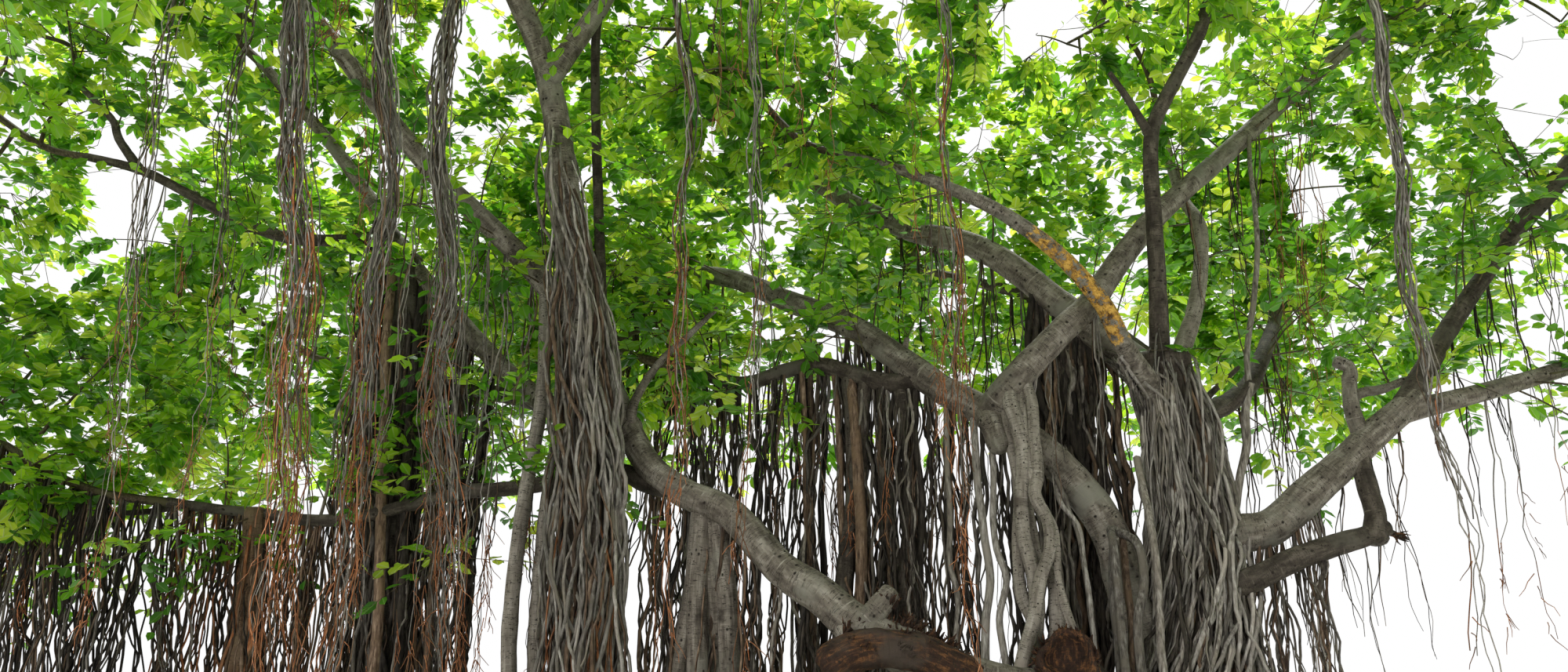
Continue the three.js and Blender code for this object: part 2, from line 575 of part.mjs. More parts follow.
// A three-sided twig that ends in a leaf, with one more leaf standing out to each
// side of it. Leaves that would leave the mass's space or touch a limb are skipped.
function leafyTwig(from, to, mass, balls, leafLength, random) {
  const along = to.clone().sub(from).normalize();
  const outward = to.clone().sub(point(mass.centre)).normalize();
  const fits = (blade, root, length) => blade.every((corner) => inOwnSpace(mass, corner))
    && isClear(balls, root, blade[3], (leafWidthShare * length) / 2);
  const aimOf = (turn) => {
    const direction = along.clone().multiplyScalar(leafAim.forward).addScaledVector(acrossOf(along), turn);
    direction.addScaledVector(outward, leafAim.outward);
    direction.z -= leafAim.droop + leafAim.droopSpread * random();
    return direction.normalize();
  };
  const rings = [
    threeRound(from, along, acrossOf(along), twigRootRadius),
    threeRound(from.clone().lerp(to, twigSwellShare), along, acrossOf(along), twigRadius),
    threeRound(to, along, acrossOf(along), twigTipRadius),
  ];
  const endLength = leafLength * (leafSize.least + leafSize.spread * random());
  const endAim = aimOf(0);
  const endBlade = bladeCorners(to, endAim, acrossOf(endAim), endLength);
  const solids = [];
  if (fits(endBlade, to, endLength)) {
    solids.push(solidOf([...rings.flat(), ...endBlade], pointedFaces(4)));
  } else {
    solids.push(solidOf(rings.flat(), ringFaces(3, 3)));
  }
  for (const [share, turn] of sideLeaves) {
    const root = from.clone().lerp(to, share);
    const aim = aimOf(turn);
    const side = acrossOf(aim).applyAxisAngle(aim, (random() - 0.5) * leafAim.roll);
    const length = leafLength * (leafSize.least + leafSize.spread * random());
    const blade = bladeCorners(root, aim, side, length);
    if (fits(blade, root, length)) {
      solids.push(solidOf([...threeRound(root, aim, side, leafStalkRadius), ...blade], pointedFaces(2)));
    }
  }
  return solids;
}

// Grows a mass: its stem goes from the bough's tip to the middle of its space,
// and each twig, nearest aims first, leaves the nearest fork that there is.
function makeMass(mass, order) {
  const random = randomFrom(seedStart + seedStep * order);
  const bough = placed.get(mass.bough).centreLines[0];
  const tip = bough.curve.getPointAt(1);
  const heading = bough.curve.getTangentAt(1);
  const others = obstacleBalls([...placed.keys()].filter((name) => name !== mass.bough));
  const balls = [...others, ...obstacleBalls([mass.bough])];
  const middle = point(mass.centre);
  const stem = new THREE.CatmullRomCurve3([
    tip.clone().addScaledVector(heading, -seatGap),
    tip.clone().addScaledVector(heading, middle.distanceTo(tip) * stemLead),
    middle,
  ]);
  const stemRadius = bough.radiusAt(1) * stemThickness;
  const solids = [tube(stem, (share) => stemRadius + (stemTipRadius - stemRadius) * share, 3, 3)];
  const forks = stemForks.map((share) => stem.getPointAt(share));
  const leafLength = leafReachShare * Math.cbrt(mass.reach[0] * mass.reach[1] * mass.reach[2]);
  const aims = aimsIn(mass, random).sort((a, b) => a.distanceTo(middle) - b.distanceTo(middle));
  for (const aim of aims) {
    const fork = forks.reduce((best, each) => (each.distanceTo(aim) < best.distanceTo(aim) ? each : best));
    const halfway = fork.clone().lerp(aim, 0.5);
    if (inOwnSpace(mass, aim) && isClear(others, fork, halfway, 0) && isClear(balls, halfway, aim, 0)) {
      solids.push(...leafyTwig(fork, aim, mass, balls, leafLength, random));
      forks.push(fork.clone().lerp(aim, twigForkShare));
    }
  }
  const fused = joined(solids).subtract(placed.get(mass.bough).swollen);
  addMesh(mass.name, largestPiece(fused), 'leaf');
}

makeTrunk();
limbs.forEach(makeLimb);
rootPillars.forEach(makePillar);
pillarBoughs.forEach(makeLimb);
rootBundles.forEach(makeRootBundle);
hangingRoots.forEach(makeHangingRoot);
masses.forEach(makeMass);

export default tree;
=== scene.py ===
# A banyan: bark, aerial roots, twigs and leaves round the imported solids, in metres.
import bpy
import math
import numpy as np
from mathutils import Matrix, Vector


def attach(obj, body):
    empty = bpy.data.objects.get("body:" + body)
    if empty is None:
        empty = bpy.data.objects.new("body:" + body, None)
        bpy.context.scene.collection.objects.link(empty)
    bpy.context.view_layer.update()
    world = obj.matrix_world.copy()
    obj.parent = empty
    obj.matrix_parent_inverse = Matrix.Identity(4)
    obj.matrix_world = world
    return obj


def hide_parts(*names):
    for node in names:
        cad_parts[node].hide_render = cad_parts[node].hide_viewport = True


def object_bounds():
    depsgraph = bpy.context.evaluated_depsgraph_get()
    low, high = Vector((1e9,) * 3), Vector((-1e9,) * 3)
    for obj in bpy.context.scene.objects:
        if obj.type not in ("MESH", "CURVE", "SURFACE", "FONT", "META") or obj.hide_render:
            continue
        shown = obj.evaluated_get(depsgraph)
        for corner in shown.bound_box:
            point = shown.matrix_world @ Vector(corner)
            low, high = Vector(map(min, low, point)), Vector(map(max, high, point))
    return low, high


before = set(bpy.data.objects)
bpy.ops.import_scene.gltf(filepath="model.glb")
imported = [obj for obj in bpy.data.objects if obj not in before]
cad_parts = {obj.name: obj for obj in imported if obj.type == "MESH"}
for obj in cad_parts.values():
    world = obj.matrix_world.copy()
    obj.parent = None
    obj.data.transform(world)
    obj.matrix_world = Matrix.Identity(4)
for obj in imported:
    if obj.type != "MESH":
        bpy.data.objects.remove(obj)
cadBox = [list(corner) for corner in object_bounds()]
scene = bpy.context.scene
up = np.array([0.0, 0.0, 1.0])
goldenAngle = math.pi * (3 - math.sqrt(5))
goldenShare = 0.6180339

# The camera stands at eye height, tilted up under the crown
cameraValues = {"place": (-2.7, -9.0, 1.6), "tilt": 106.0, "lens": 27.0, "sensor": 36.0}
camera = bpy.data.objects.new("camera", bpy.data.cameras.new("camera"))
camera.data.lens = cameraValues["lens"]
camera.data.sensor_width = cameraValues["sensor"]
camera.data.clip_end = 200
camera.location = cameraValues["place"]
camera.rotation_euler = (math.radians(cameraValues["tilt"]), 0, 0)
scene.collection.objects.link(camera)
scene.camera = camera

# Light: a bright even sky, a soft sun from behind the crown, a weak fill from the front
lightValues = {
    "sky": (0.95, 0.98, 1.0), "skyStrength": 0.55,
    "sunEnergy": 6.5, "sunSoftness": 12.0, "sunTurn": (-34.0, 16.0, 0.0),
    "fillEnergy": 1.5, "fillSoftness": 26.0, "fillTurn": (58.0, 0.0, -38.0),
}
scene.view_settings.view_transform = "Standard"
world = bpy.data.worlds.new("sky")
world.use_nodes = True
lit = world.node_tree.nodes["Background"]  # what lights the tree
lit.inputs["Color"].default_value = (*lightValues["sky"], 1)
lit.inputs["Strength"].default_value = lightValues["skyStrength"]
seen = world.node_tree.nodes.new("ShaderNodeBackground")  # the white backdrop
seen.inputs["Color"].default_value = (1, 1, 1, 1)
rays = world.node_tree.nodes.new("ShaderNodeLightPath")
either = world.node_tree.nodes.new("ShaderNodeMixShader")
world.node_tree.links.new(rays.outputs["Is Camera Ray"], either.inputs[0])
world.node_tree.links.new(lit.outputs[0], either.inputs[1])
world.node_tree.links.new(seen.outputs[0], either.inputs[2])
world.node_tree.links.new(either.outputs[0], world.node_tree.nodes["World Output"].inputs["Surface"])
scene.world = world
for name in ("sun", "fill"):
    lamp = bpy.data.lights.new(name, "SUN")
    lamp.energy = lightValues[name + "Energy"]
    lamp.angle = math.radians(lightValues[name + "Softness"])
    holder = bpy.data.objects.new(name, lamp)
    holder.rotation_euler = [math.radians(turn) for turn in lightValues[name + "Turn"]]
    scene.collection.objects.link(holder)
print("camera and light set")


# Materials

def tint(code):
    levels = [int(code[k:k + 2], 16) / 255 for k in (0, 2, 4)]
    return (*[level / 12.92 if level < 0.04 else ((level + 0.055) / 1.055) ** 2.4 for level in levels], 1)


class Look:
    # A material and short calls that add and join its nodes
    def __init__(self, name):
        self.material = bpy.data.materials.new(name)
        self.material.use_nodes = True
        self.nodes = self.material.node_tree.nodes
        self.links = self.material.node_tree.links
        self.shader = self.nodes["Principled BSDF"]

    def add(self, kind, **values):
        node = self.nodes.new(kind)
        for key, value in values.items():
            if key in node.inputs.keys():
                node.inputs[key].default_value = value
            else:
                setattr(node, key, value)
        return node

    def join(self, source, target):
        self.links.new(source, target)

    def ramp(self, source, stops):
        node = self.add("ShaderNodeValToRGB")
        while len(node.color_ramp.elements) < len(stops):
            node.color_ramp.elements.new(0.5)
        for element, (place, colour) in zip(node.color_ramp.elements, stops):
            element.position = place
            element.color = colour
        self.join(source, node.inputs["Fac"])
        return node.outputs["Color"]

    def blend(self, amount, first, second, kind="MIX"):
        node = self.add("ShaderNodeMix", data_type="RGBA", blend_type=kind)
        if isinstance(amount, float):
            node.inputs[0].default_value = amount
        else:
            self.join(amount, node.inputs[0])
        for source, slot in ((first, 6), (second, 7)):
            if isinstance(source, tuple):
                node.inputs[slot].default_value = source
            else:
                self.join(source, node.inputs[slot])
        return node.outputs[2]

    def spread(self, source, low, high):
        node = self.add("ShaderNodeMapRange", interpolation_type="SMOOTHSTEP")
        node.inputs["From Min"].default_value = low
        node.inputs["From Max"].default_value = high
        self.join(source, node.inputs["Value"])
        return node.outputs["Result"]

    # A node that reads places, and its first output unless another is asked for
    def at(self, places, kind, output=0, **values):
        node = self.add("ShaderNode" + kind, **values)
        self.join(places, node.inputs["Vector"])
        return node.outputs[output]

    def maths(self, operation, first, second=0.0):
        node = self.add("ShaderNodeMath", operation=operation)
        self.join(first, node.inputs[0])
        if isinstance(second, float):
            node.inputs[1].default_value = second
        else:
            self.join(second, node.inputs[1])
        return node.outputs[0]

    # How far a value lies from a half, to either side
    def fromMiddle(self, source):
        return self.maths("ABSOLUTE", self.maths("SUBTRACT", source, 0.5))

    def tones(self, source, places, values):
        shades = [tint(values[tone]) for tone in ("dark", "middle", "light")]
        return self.ramp(source, list(zip(places, shades)))

    def surface(self, base, rough, gloss):
        self.join(base, self.shader.inputs["Base Color"])
        self.shader.inputs["Roughness"].default_value = rough
        self.shader.inputs["Specular IOR Level"].default_value = gloss

    def emboss(self, height, strength, distance):
        bump = self.add("ShaderNodeBump", Strength=strength, Distance=distance)
        self.join(height, bump.inputs["Height"])
        self.join(bump.outputs["Normal"], self.shader.inputs["Normal"])


# Golden under-bark where the outer bark has flaked away on one stretch of a limb
def addFlakes(look, base, space, grain, flakes):
    along = look.at(space, "SeparateXYZ", 2)
    torn = look.at(space, "TexNoise", Scale=13.0, Detail=6.0, Roughness=0.75)
    starts, ends = (look.spread(along, *flakes[key]) for key in ("starts", "ends"))
    edge = look.maths("ADD", look.maths("MULTIPLY", starts, ends), torn)
    gold = look.tones(torn, (0.36, 0.48, 0.58), flakes)
    gold = look.blend(look.spread(grain, 0.5, 0.36), gold, tint(flakes["dark"]))
    return look.blend(look.spread(edge, 1.45, 1.49), base, gold)


# Bark reads barkSpace, a place on the limb laid straight, so that its grain follows the limb
def barkLook(name, values):
    look = Look(name)
    space = look.add("ShaderNodeAttribute", attribute_name="barkSpace").outputs["Vector"]
    here = look.add("ShaderNodeTexCoord").outputs["Object"]
    long = look.at(space, "Mapping", Scale=(1, 1, values["stretch"]))
    grain = look.at(long, "TexNoise", Scale=values["grain"], Detail=6.0, Roughness=0.68)
    rings = look.at(space, "Mapping", Scale=(0.35, 0.35, 2.4))
    bands = look.at(rings, "TexNoise", Scale=values["bands"], Detail=3.0, Roughness=0.6)
    cracks = look.fromMiddle(bands)  # thin cracks run where the bands cross their middle
    patches = look.at(here, "TexNoise", Scale=2.6, Detail=4.0, Roughness=0.62)
    specks = look.at(space, "TexVoronoi", Scale=values["specks"], Randomness=1.0)
    base = look.tones(grain, (0.28, 0.5, 0.72), values)
    for source, low, high, tone in (
            (bands, 0.62, 0.78, "light"), (cracks, 0.016, 0.002, "speck"), (patches, 0.5, 0.7, "patch"),
            (patches, 0.42, 0.26, "dark"), (specks, 0.2, 0.08, "speck")):
        base = look.blend(look.spread(source, low, high), base, tint(values[tone]))
    if "flakes" in values:
        base = addFlakes(look, base, space, grain, values["flakes"])
    look.surface(base, values["rough"], 0.25)
    look.emboss(look.maths("ADD", grain, bands), values["bump"], 0.012)
    return look.material


# Root skins run in long streaks down the object
def rootLook(name, values):
    look = Look(name)
    here = look.add("ShaderNodeTexCoord").outputs["Object"]
    long = look.at(here, "Mapping", Scale=(1, 1, 0.18))
    streaks = look.at(long, "TexNoise", Scale=55.0, Detail=4.0, Roughness=0.6)
    patches = look.at(here, "TexNoise", Scale=5.0, Detail=3.0, Roughness=0.55)
    base = look.tones(streaks, (0.3, 0.5, 0.7), values)
    base = look.blend(look.spread(patches, 0.48, 0.66), base, tint(values["patch"]))
    # Each strand has its own tone
    own = look.add("ShaderNodeTexWhiteNoise", noise_dimensions="1D")
    look.join(look.add("ShaderNodeAttribute", attribute_name="phase").outputs["Fac"], own.inputs["W"])
    tone = look.ramp(own.outputs["Value"], [
        (0.0, tint("8c8c8c")), (0.45, tint("c8c8c8")), (1.0, tint("ffffff"))])
    look.surface(look.blend(1.0, base, tone, "MULTIPLY"), values["rough"], 0.3)
    look.emboss(streaks, 0.5, 0.004)
    return look.material


# A leaf: waxy face, pale ribs from its own map, and light that comes through it
def leafLook(name, values):
    look = Look(name)
    here = look.add("ShaderNodeTexCoord").outputs["Object"]
    own = look.add("ShaderNodeUVMap", uv_map="leafMap").outputs["UV"]
    rib = look.spread(look.fromMiddle(look.at(own, "SeparateXYZ")), 0.045, 0.015)
    mottle = look.at(here, "TexNoise", Scale=3.0, Detail=3.0, Roughness=0.6)
    face = look.tones(mottle, (0.32, 0.52, 0.7), values)
    look.surface(look.blend(rib, face, tint(values["rib"])), values["rough"], values["gloss"])
    through = look.add("ShaderNodeBsdfTranslucent")
    look.join(look.blend(rib, tint(values["through"]), tint(values["rib"])), through.inputs["Color"])
    both = look.add("ShaderNodeMixShader", Fac=values["share"])
    look.join(look.shader.outputs["BSDF"], both.inputs[1])
    look.join(through.outputs["BSDF"], both.inputs[2])
    look.join(both.outputs["Shader"], look.nodes["Material Output"].inputs["Surface"])
    return look.material


greyBark = {"light": "aaa296", "middle": "766d62", "dark": "39322c", "patch": "868276", "speck": "2a241f",
            "grain": 16.0, "stretch": 0.32, "bands": 15.0, "specks": 13.0, "bump": 0.75, "rough": 0.88}
barks = {
    # Trunk bark is darkened as painted shade: it shows in the gaps between the strands that cover the trunk
    # and the left pillar, where shade falls
    "trunkBark": barkLook("trunk_bark", {**greyBark, "light": "6f655b", "middle": "443b34", "dark": "211b17",
                                         "patch": "564d44"}),
    "limbBark": barkLook("limb_bark", greyBark),
    # Dark bark is partly painted shade: its tones are darkened so that the pillar cores read dark between the
    # strands on them
    "darkBark": barkLook("dark_bark", {**greyBark, "light": "776d62", "middle": "4a423a", "dark": "251f1b",
                                       "patch": "5c574d"}),
    "goldenBark": barkLook("golden_bark", {
        **greyBark, "grain": 26.0, "stretch": 0.6, "bump": 1.0,
        "flakes": {"starts": (0.34, 0.66), "ends": (2.1, 1.6),
                   "light": "dcae58", "middle": "ae7c2e", "dark": "5a3a1a"}}),
    "paleRoot": barkLook("pale_root", {**greyBark, "light": "b9b0a6", "middle": "8f867b", "dark": "5c534a",
                                       "patch": "9a8f84", "grain": 22.0, "stretch": 0.14, "specks": 22.0}),
    "coneRoot": barkLook("cone_root", {**greyBark, "light": "a39a8e", "middle": "70675d", "dark": "352e28",
                                       "grain": 20.0, "stretch": 0.14}),
    "tornWood": barkLook("torn_wood", {**greyBark, "light": "8c5e38", "middle": "3d2a20", "dark": "17110e",
                                       "patch": "4a3f37", "grain": 30.0, "stretch": 0.3}),
    "brownRoot": barkLook("brown_root", {**greyBark, "light": "92765a", "middle": "6b5340", "dark": "3e2e24",
                                         "patch": "7d6a55", "grain": 24.0, "stretch": 0.14}),
}
# Skins of thin roots: material, light, middle and dark tone, patches, roughness
rootColours = {
    "palest": ("root_skin_pale", "e0d9d0", "b0a79d", "5f5750", "b5aa9e", 0.78),
    "grey": ("root_skin_grey", "b8b0a6", "857c72", "3b342e", "8d8375", 0.82),
    "brown": ("root_skin_brown", "ab927c", "765f4d", "382a22", "846b54", 0.85),
    # The dark skin is partly painted shade: it goes on strands that hang in shade and on those that lie
    # behind paler ones
    "dark": ("root_skin_dark", "6e655b", "433b34", "1d1814", "50473d", 0.88),
    "orange": ("root_skin_orange", "ecae84", "c47a4c", "74452c", "a97c5a", 0.8),
}
rootParts = ("light", "middle", "dark", "patch", "rough")
rootSkins = {skin: rootLook(name, dict(zip(rootParts, values)))
             for skin, (name, *values) in rootColours.items()}
# Leaves: material, light, middle and dark tone, rib, colour of the light through them and its
# share, roughness, gloss
# The greens are lit and shaded copies: deep green is painted shade, the fresh and young greens are painted
# light, with some real difference of age among them
leafColours = {
    "deep": ("leaf_deep_green", "4d8a2f", "356b20", "245017", "6f9c44", "74b818", 0.42, 0.36, 0.5),
    "middle": ("leaf_middle_green", "6aa834", "4d8a27", "376c1e", "8fb556", "9ad41e", 0.48, 0.38, 0.5),
    "fresh": ("leaf_fresh_green", "8fc63c", "70ab2d", "559022", "b0cd68", "c2e62a", 0.54, 0.4, 0.45),
    "young": ("leaf_young_green", "bddd52", "a0ca3c", "80b02e", "d4e48c", "e4f04a", 0.58, 0.44, 0.4),
}
leafParts = ("light", "middle", "dark", "rib", "through", "share", "rough", "gloss")
leafLooks = {look: leafLook(name, dict(zip(leafParts, values)))
             for look, (name, *values) in leafColours.items()}
twigSkin = rootLook("twig_skin", {"light": "8a7a63", "middle": "61533f", "dark": "3b3226", "patch": "6f6a48",
                                  "rough": 0.8})
print("materials made")


# Geometry node trees

def newTree(name, inputs):
    tree = bpy.data.node_groups.new(name, "GeometryNodeTree")
    tree.interface.new_socket("Geometry", in_out="INPUT", socket_type="NodeSocketGeometry")
    for label, kind, value in inputs:
        socket = tree.interface.new_socket(label, in_out="INPUT", socket_type="NodeSocket" + kind)
        if value is not None:
            socket.default_value = value
    tree.interface.new_socket("Geometry", in_out="OUTPUT", socket_type="NodeSocketGeometry")
    return tree, tree.nodes.new("NodeGroupInput").outputs, tree.nodes.new("NodeGroupOutput").inputs


# Adds a node: values set its properties or, where they are sockets, join its inputs
def step(tree, kind, settings=None, **sockets):
    node = tree.nodes.new(kind)
    for key, value in (settings or {}).items():
        setattr(node, key, value)
    for key, value in sockets.items():
        numbered = key[0] == "n" and key[1:].isdigit()
        target = node.inputs[int(key[1:]) if numbered else key.replace("_", " ")]
        if isinstance(value, bpy.types.NodeSocket):
            tree.links.new(value, target)
        else:
            target.default_value = value
    return node


def endTree(tree, given, out, geometry, smooth=True):
    if smooth:
        geometry = step(tree, "GeometryNodeSetShadeSmooth", Geometry=geometry).outputs[0]
    real = step(tree, "GeometryNodeRealizeInstances", Geometry=geometry).outputs[0]
    final = step(tree, "GeometryNodeSetMaterial", Geometry=real, Material=given["Material"]).outputs[0]
    tree.links.new(final, out[0])


def attribute(tree, name, kind="FLOAT"):
    return step(tree, "GeometryNodeInputNamedAttribute", {"data_type": kind}, Name=name).outputs[0]


def maths(tree, operation, first, second=0.0):
    return step(tree, "ShaderNodeMath", {"operation": operation}, n0=first, n1=second).outputs[0]


def vectors(tree, operation, first, second):
    return step(tree, "ShaderNodeVectorMath", {"operation": operation}, n0=first, n1=second).outputs[0]


def scaled(tree, vector, amount):
    return step(tree, "ShaderNodeVectorMath", {"operation": "SCALE"}, Vector=vector, Scale=amount).outputs[0]


# Pushes a limb's surface in and out: long furrows, uneven rings, and lumps
def makeBarkRelief():
    tree, given, out = newTree("bark_relief", [
        ("Furrow Depth", "Float", 0.01), ("Furrow Scale", "Float", 8.0), ("Ring Depth", "Float", 0.004),
        ("Ring Scale", "Float", 9.0), ("Lump Depth", "Float", 0.02), ("Lump Scale", "Float", 2.2),
        ("Stretch", "Float", 0.25), ("Seed", "Float", 0.0), ("Material", "Material", None)])
    space = attribute(tree, "barkSpace", "FLOAT_VECTOR")
    stretched = step(tree, "ShaderNodeCombineXYZ", X=1.0, Y=1.0, Z=given["Stretch"]).outputs[0]
    long = vectors(tree, "MULTIPLY", space, stretched)
    ringed = vectors(tree, "MULTIPLY", space, (0.35, 0.35, 2.0))
    total = None
    for source, depth, scale, detail in (
            (long, "Furrow Depth", "Furrow Scale", 3.0),
            (ringed, "Ring Depth", "Ring Scale", 2.0),
            (space, "Lump Depth", "Lump Scale", 2.0)):
        noise = step(tree, "ShaderNodeTexNoise", {"noise_dimensions": "4D"}, Vector=source, W=given["Seed"],
                     Scale=given[scale], Detail=detail, Roughness=0.55).outputs[0]
        moved = maths(tree, "MULTIPLY", maths(tree, "SUBTRACT", noise, 0.5), given[depth])
        total = moved if total is None else maths(tree, "ADD", total, moved)
    normal = step(tree, "GeometryNodeInputNormal").outputs[0]
    loose = maths(tree, "MULTIPLY", total, attribute(tree, "relief"))
    offset = scaled(tree, normal, loose)
    moved = step(tree, "GeometryNodeSetPosition", Geometry=given[0], Offset=offset).outputs[0]
    endTree(tree, given, out, moved)
    return tree


# Turns rows of edges into tubes: girth is a strand's radius, loose how far it may wander
def makeStrands():
    tree, given, out = newTree("strands", [
        ("Sides", "Int", 5), ("Wander", "Float", 0.05), ("Wander Scale", "Float", 1.6),
        ("Kink", "Float", 0.012), ("Kink Scale", "Float", 7.0), ("Material", "Material", None)])
    curve = step(tree, "GeometryNodeMeshToCurve", Mesh=given[0]).outputs[0]
    place = step(tree, "GeometryNodeInputPosition").outputs[0]
    phase = attribute(tree, "phase")
    total = None
    for amount, scale in (("Wander", "Wander Scale"), ("Kink", "Kink Scale")):
        noise = step(tree, "ShaderNodeTexNoise", {"noise_dimensions": "4D"}, Vector=place, W=phase,
                     Scale=given[scale], Detail=1.0).outputs["Color"]
        centred = vectors(tree, "SUBTRACT", noise, (0.5, 0.5, 0.5))
        moved = scaled(tree, centred, given[amount])
        total = moved if total is None else vectors(tree, "ADD", total, moved)
    offset = scaled(tree, total, attribute(tree, "loose"))
    moved = step(tree, "GeometryNodeSetPosition", Geometry=curve, Offset=offset).outputs[0]
    profile = step(tree, "GeometryNodeCurvePrimitiveCircle", Resolution=given["Sides"], Radius=1.0).outputs[0]
    tube = step(tree, "GeometryNodeCurveToMesh", {}, Curve=moved, Profile_Curve=profile,
                Scale=attribute(tree, "girth"), Fill_Caps=True).outputs[0]
    endTree(tree, given, out, tube)
    return tree


# Puts a leaf on every point: along and face turn it, size stretches it
def makeLeaves():
    tree, given, out = newTree("leaves", [("Leaf", "Object", None), ("Material", "Material", None)])
    leaf = step(tree, "GeometryNodeObjectInfo", Object=given["Leaf"]).outputs["Geometry"]
    along, face, size = (attribute(tree, name, "FLOAT_VECTOR") for name in ("along", "face", "size"))
    turn = step(tree, "FunctionNodeAxesToRotation", {"primary_axis": "Y", "secondary_axis": "Z"},
                n0=along, n1=face).outputs[0]
    points = step(tree, "GeometryNodeMeshToPoints", Mesh=given[0]).outputs[0]
    leaves = step(tree, "GeometryNodeInstanceOnPoints", Points=points, Instance=leaf, Rotation=turn,
                  Scale=size).outputs[0]
    endTree(tree, given, out, leaves, smooth=False)
    return tree


barkRelief = makeBarkRelief()
strandTubes = makeStrands()
leafSprays = makeLeaves()


# Makes a mesh object of numpy rows, with named values on its points
def meshOf(name, places, faces=(), edges=(), values=None):
    mesh = bpy.data.meshes.new(name)
    mesh.from_pydata(places, edges, faces)
    for key, row in (values or {}).items():
        row = np.asarray(row, dtype=np.float32)
        kind, slot = ("FLOAT_VECTOR", "vector") if row.ndim == 2 else ("FLOAT", "value")
        mesh.attributes.new(key, kind, "POINT").data.foreach_set(slot, row.ravel())
    thing = bpy.data.objects.new(name, mesh)
    scene.collection.objects.link(thing)
    return thing


# Runs a node tree over an object and keeps what it makes as a plain mesh
def grow(thing, tree, values):
    modifier = thing.modifiers.new(tree.name, "NODES")
    modifier.node_group = tree
    for item in tree.interface.items_tree:
        if item.in_out == "INPUT" and item.name in values:
            modifier[item.identifier] = values[item.name]
    graph = bpy.context.evaluated_depsgraph_get()
    made = bpy.data.meshes.new_from_object(
        thing.evaluated_get(graph), preserve_all_data_layers=True, depsgraph=graph)
    thing.modifiers.remove(modifier)
    old = thing.data
    thing.data = made
    bpy.data.meshes.remove(old)
    made.name = thing.name
    return thing


# Roughens a tube or trunk of bark: each kind of relief has its depth and scale
def roughen(thing, bark, furrows, rings, lumps, stretch=0.25, seed=0.0):
    grow(thing, barkRelief, {
        "Furrow Depth": furrows[0], "Furrow Scale": furrows[1],
        "Ring Depth": rings[0], "Ring Scale": rings[1],
        "Lump Depth": lumps[0], "Lump Scale": lumps[1], "Stretch": stretch, "Seed": seed,
        "Material": barks[bark]})


triangles = {}


def settle(thing, nodes=()):
    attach(thing, "root")
    if nodes:
        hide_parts(*nodes)
    triangles[thing.name] = sum(len(face.vertices) - 2 for face in thing.data.polygons)


# Lines through a few places, like the source's

def lineThrough(points, spacing):
    row = np.array(points, float)
    ends = np.vstack([2 * row[0] - row[1], row, 2 * row[-1] - row[-2]])
    share = np.linspace(0, 1, 24, endpoint=False)[:, None]
    fine = []
    for before, start, end, after in zip(ends[:-3], ends[1:-2], ends[2:-1], ends[3:]):
        g0, g1, g2 = (max(np.linalg.norm(q - p), 1e-6) ** 0.5 for p, q in (
            (before, start), (start, end), (end, after)))
        leave = ((start - before) / g0 - (end - before) / (g0 + g1) + (end - start) / g1) * g1
        reach = ((end - start) / g1 - (after - start) / (g1 + g2) + (after - end) / g2) * g1
        fine.append(start + leave * share + (3 * (end - start) - 2 * leave - reach) * share ** 2
                    + (2 * (start - end) + leave + reach) * share ** 3)
    fine = np.vstack([*fine, row[-1:]])
    return evenly(fine, spacing)


def evenly(line, spacing):
    run = np.concatenate([[0], np.cumsum(np.linalg.norm(np.diff(line, axis=0), axis=1))])
    count = max(3, int(math.ceil(run[-1] / spacing)))
    at = np.linspace(0, run[-1], count + 1)
    return np.column_stack([np.interp(at, run, line[:, k]) for k in range(3)])


def unit(rows):
    return rows / np.maximum(np.linalg.norm(rows, axis=-1, keepdims=True), 1e-9)


# Directions along a line and two across it that don't twist
def framesOf(line):
    along = unit(np.gradient(line, axis=0))
    side = np.cross(along[0], up if abs(along[0][2]) < 0.9 else np.array([0.0, 1.0, 0.0]))
    sides = np.empty_like(along)
    for k, direction in enumerate(along):
        side = side - direction * side.dot(direction)
        side /= np.linalg.norm(side)
        sides[k] = side
    return along, sides, np.cross(along, sides)


# The faces between rings of points that follow on each other
def wallsOf(rings, sides):
    return [(lower + k, lower + (k + 1) % sides, lower + sides + (k + 1) % sides, lower + sides + k)
            for lower in range(0, (rings - 1) * sides, sides) for k in range(sides)]


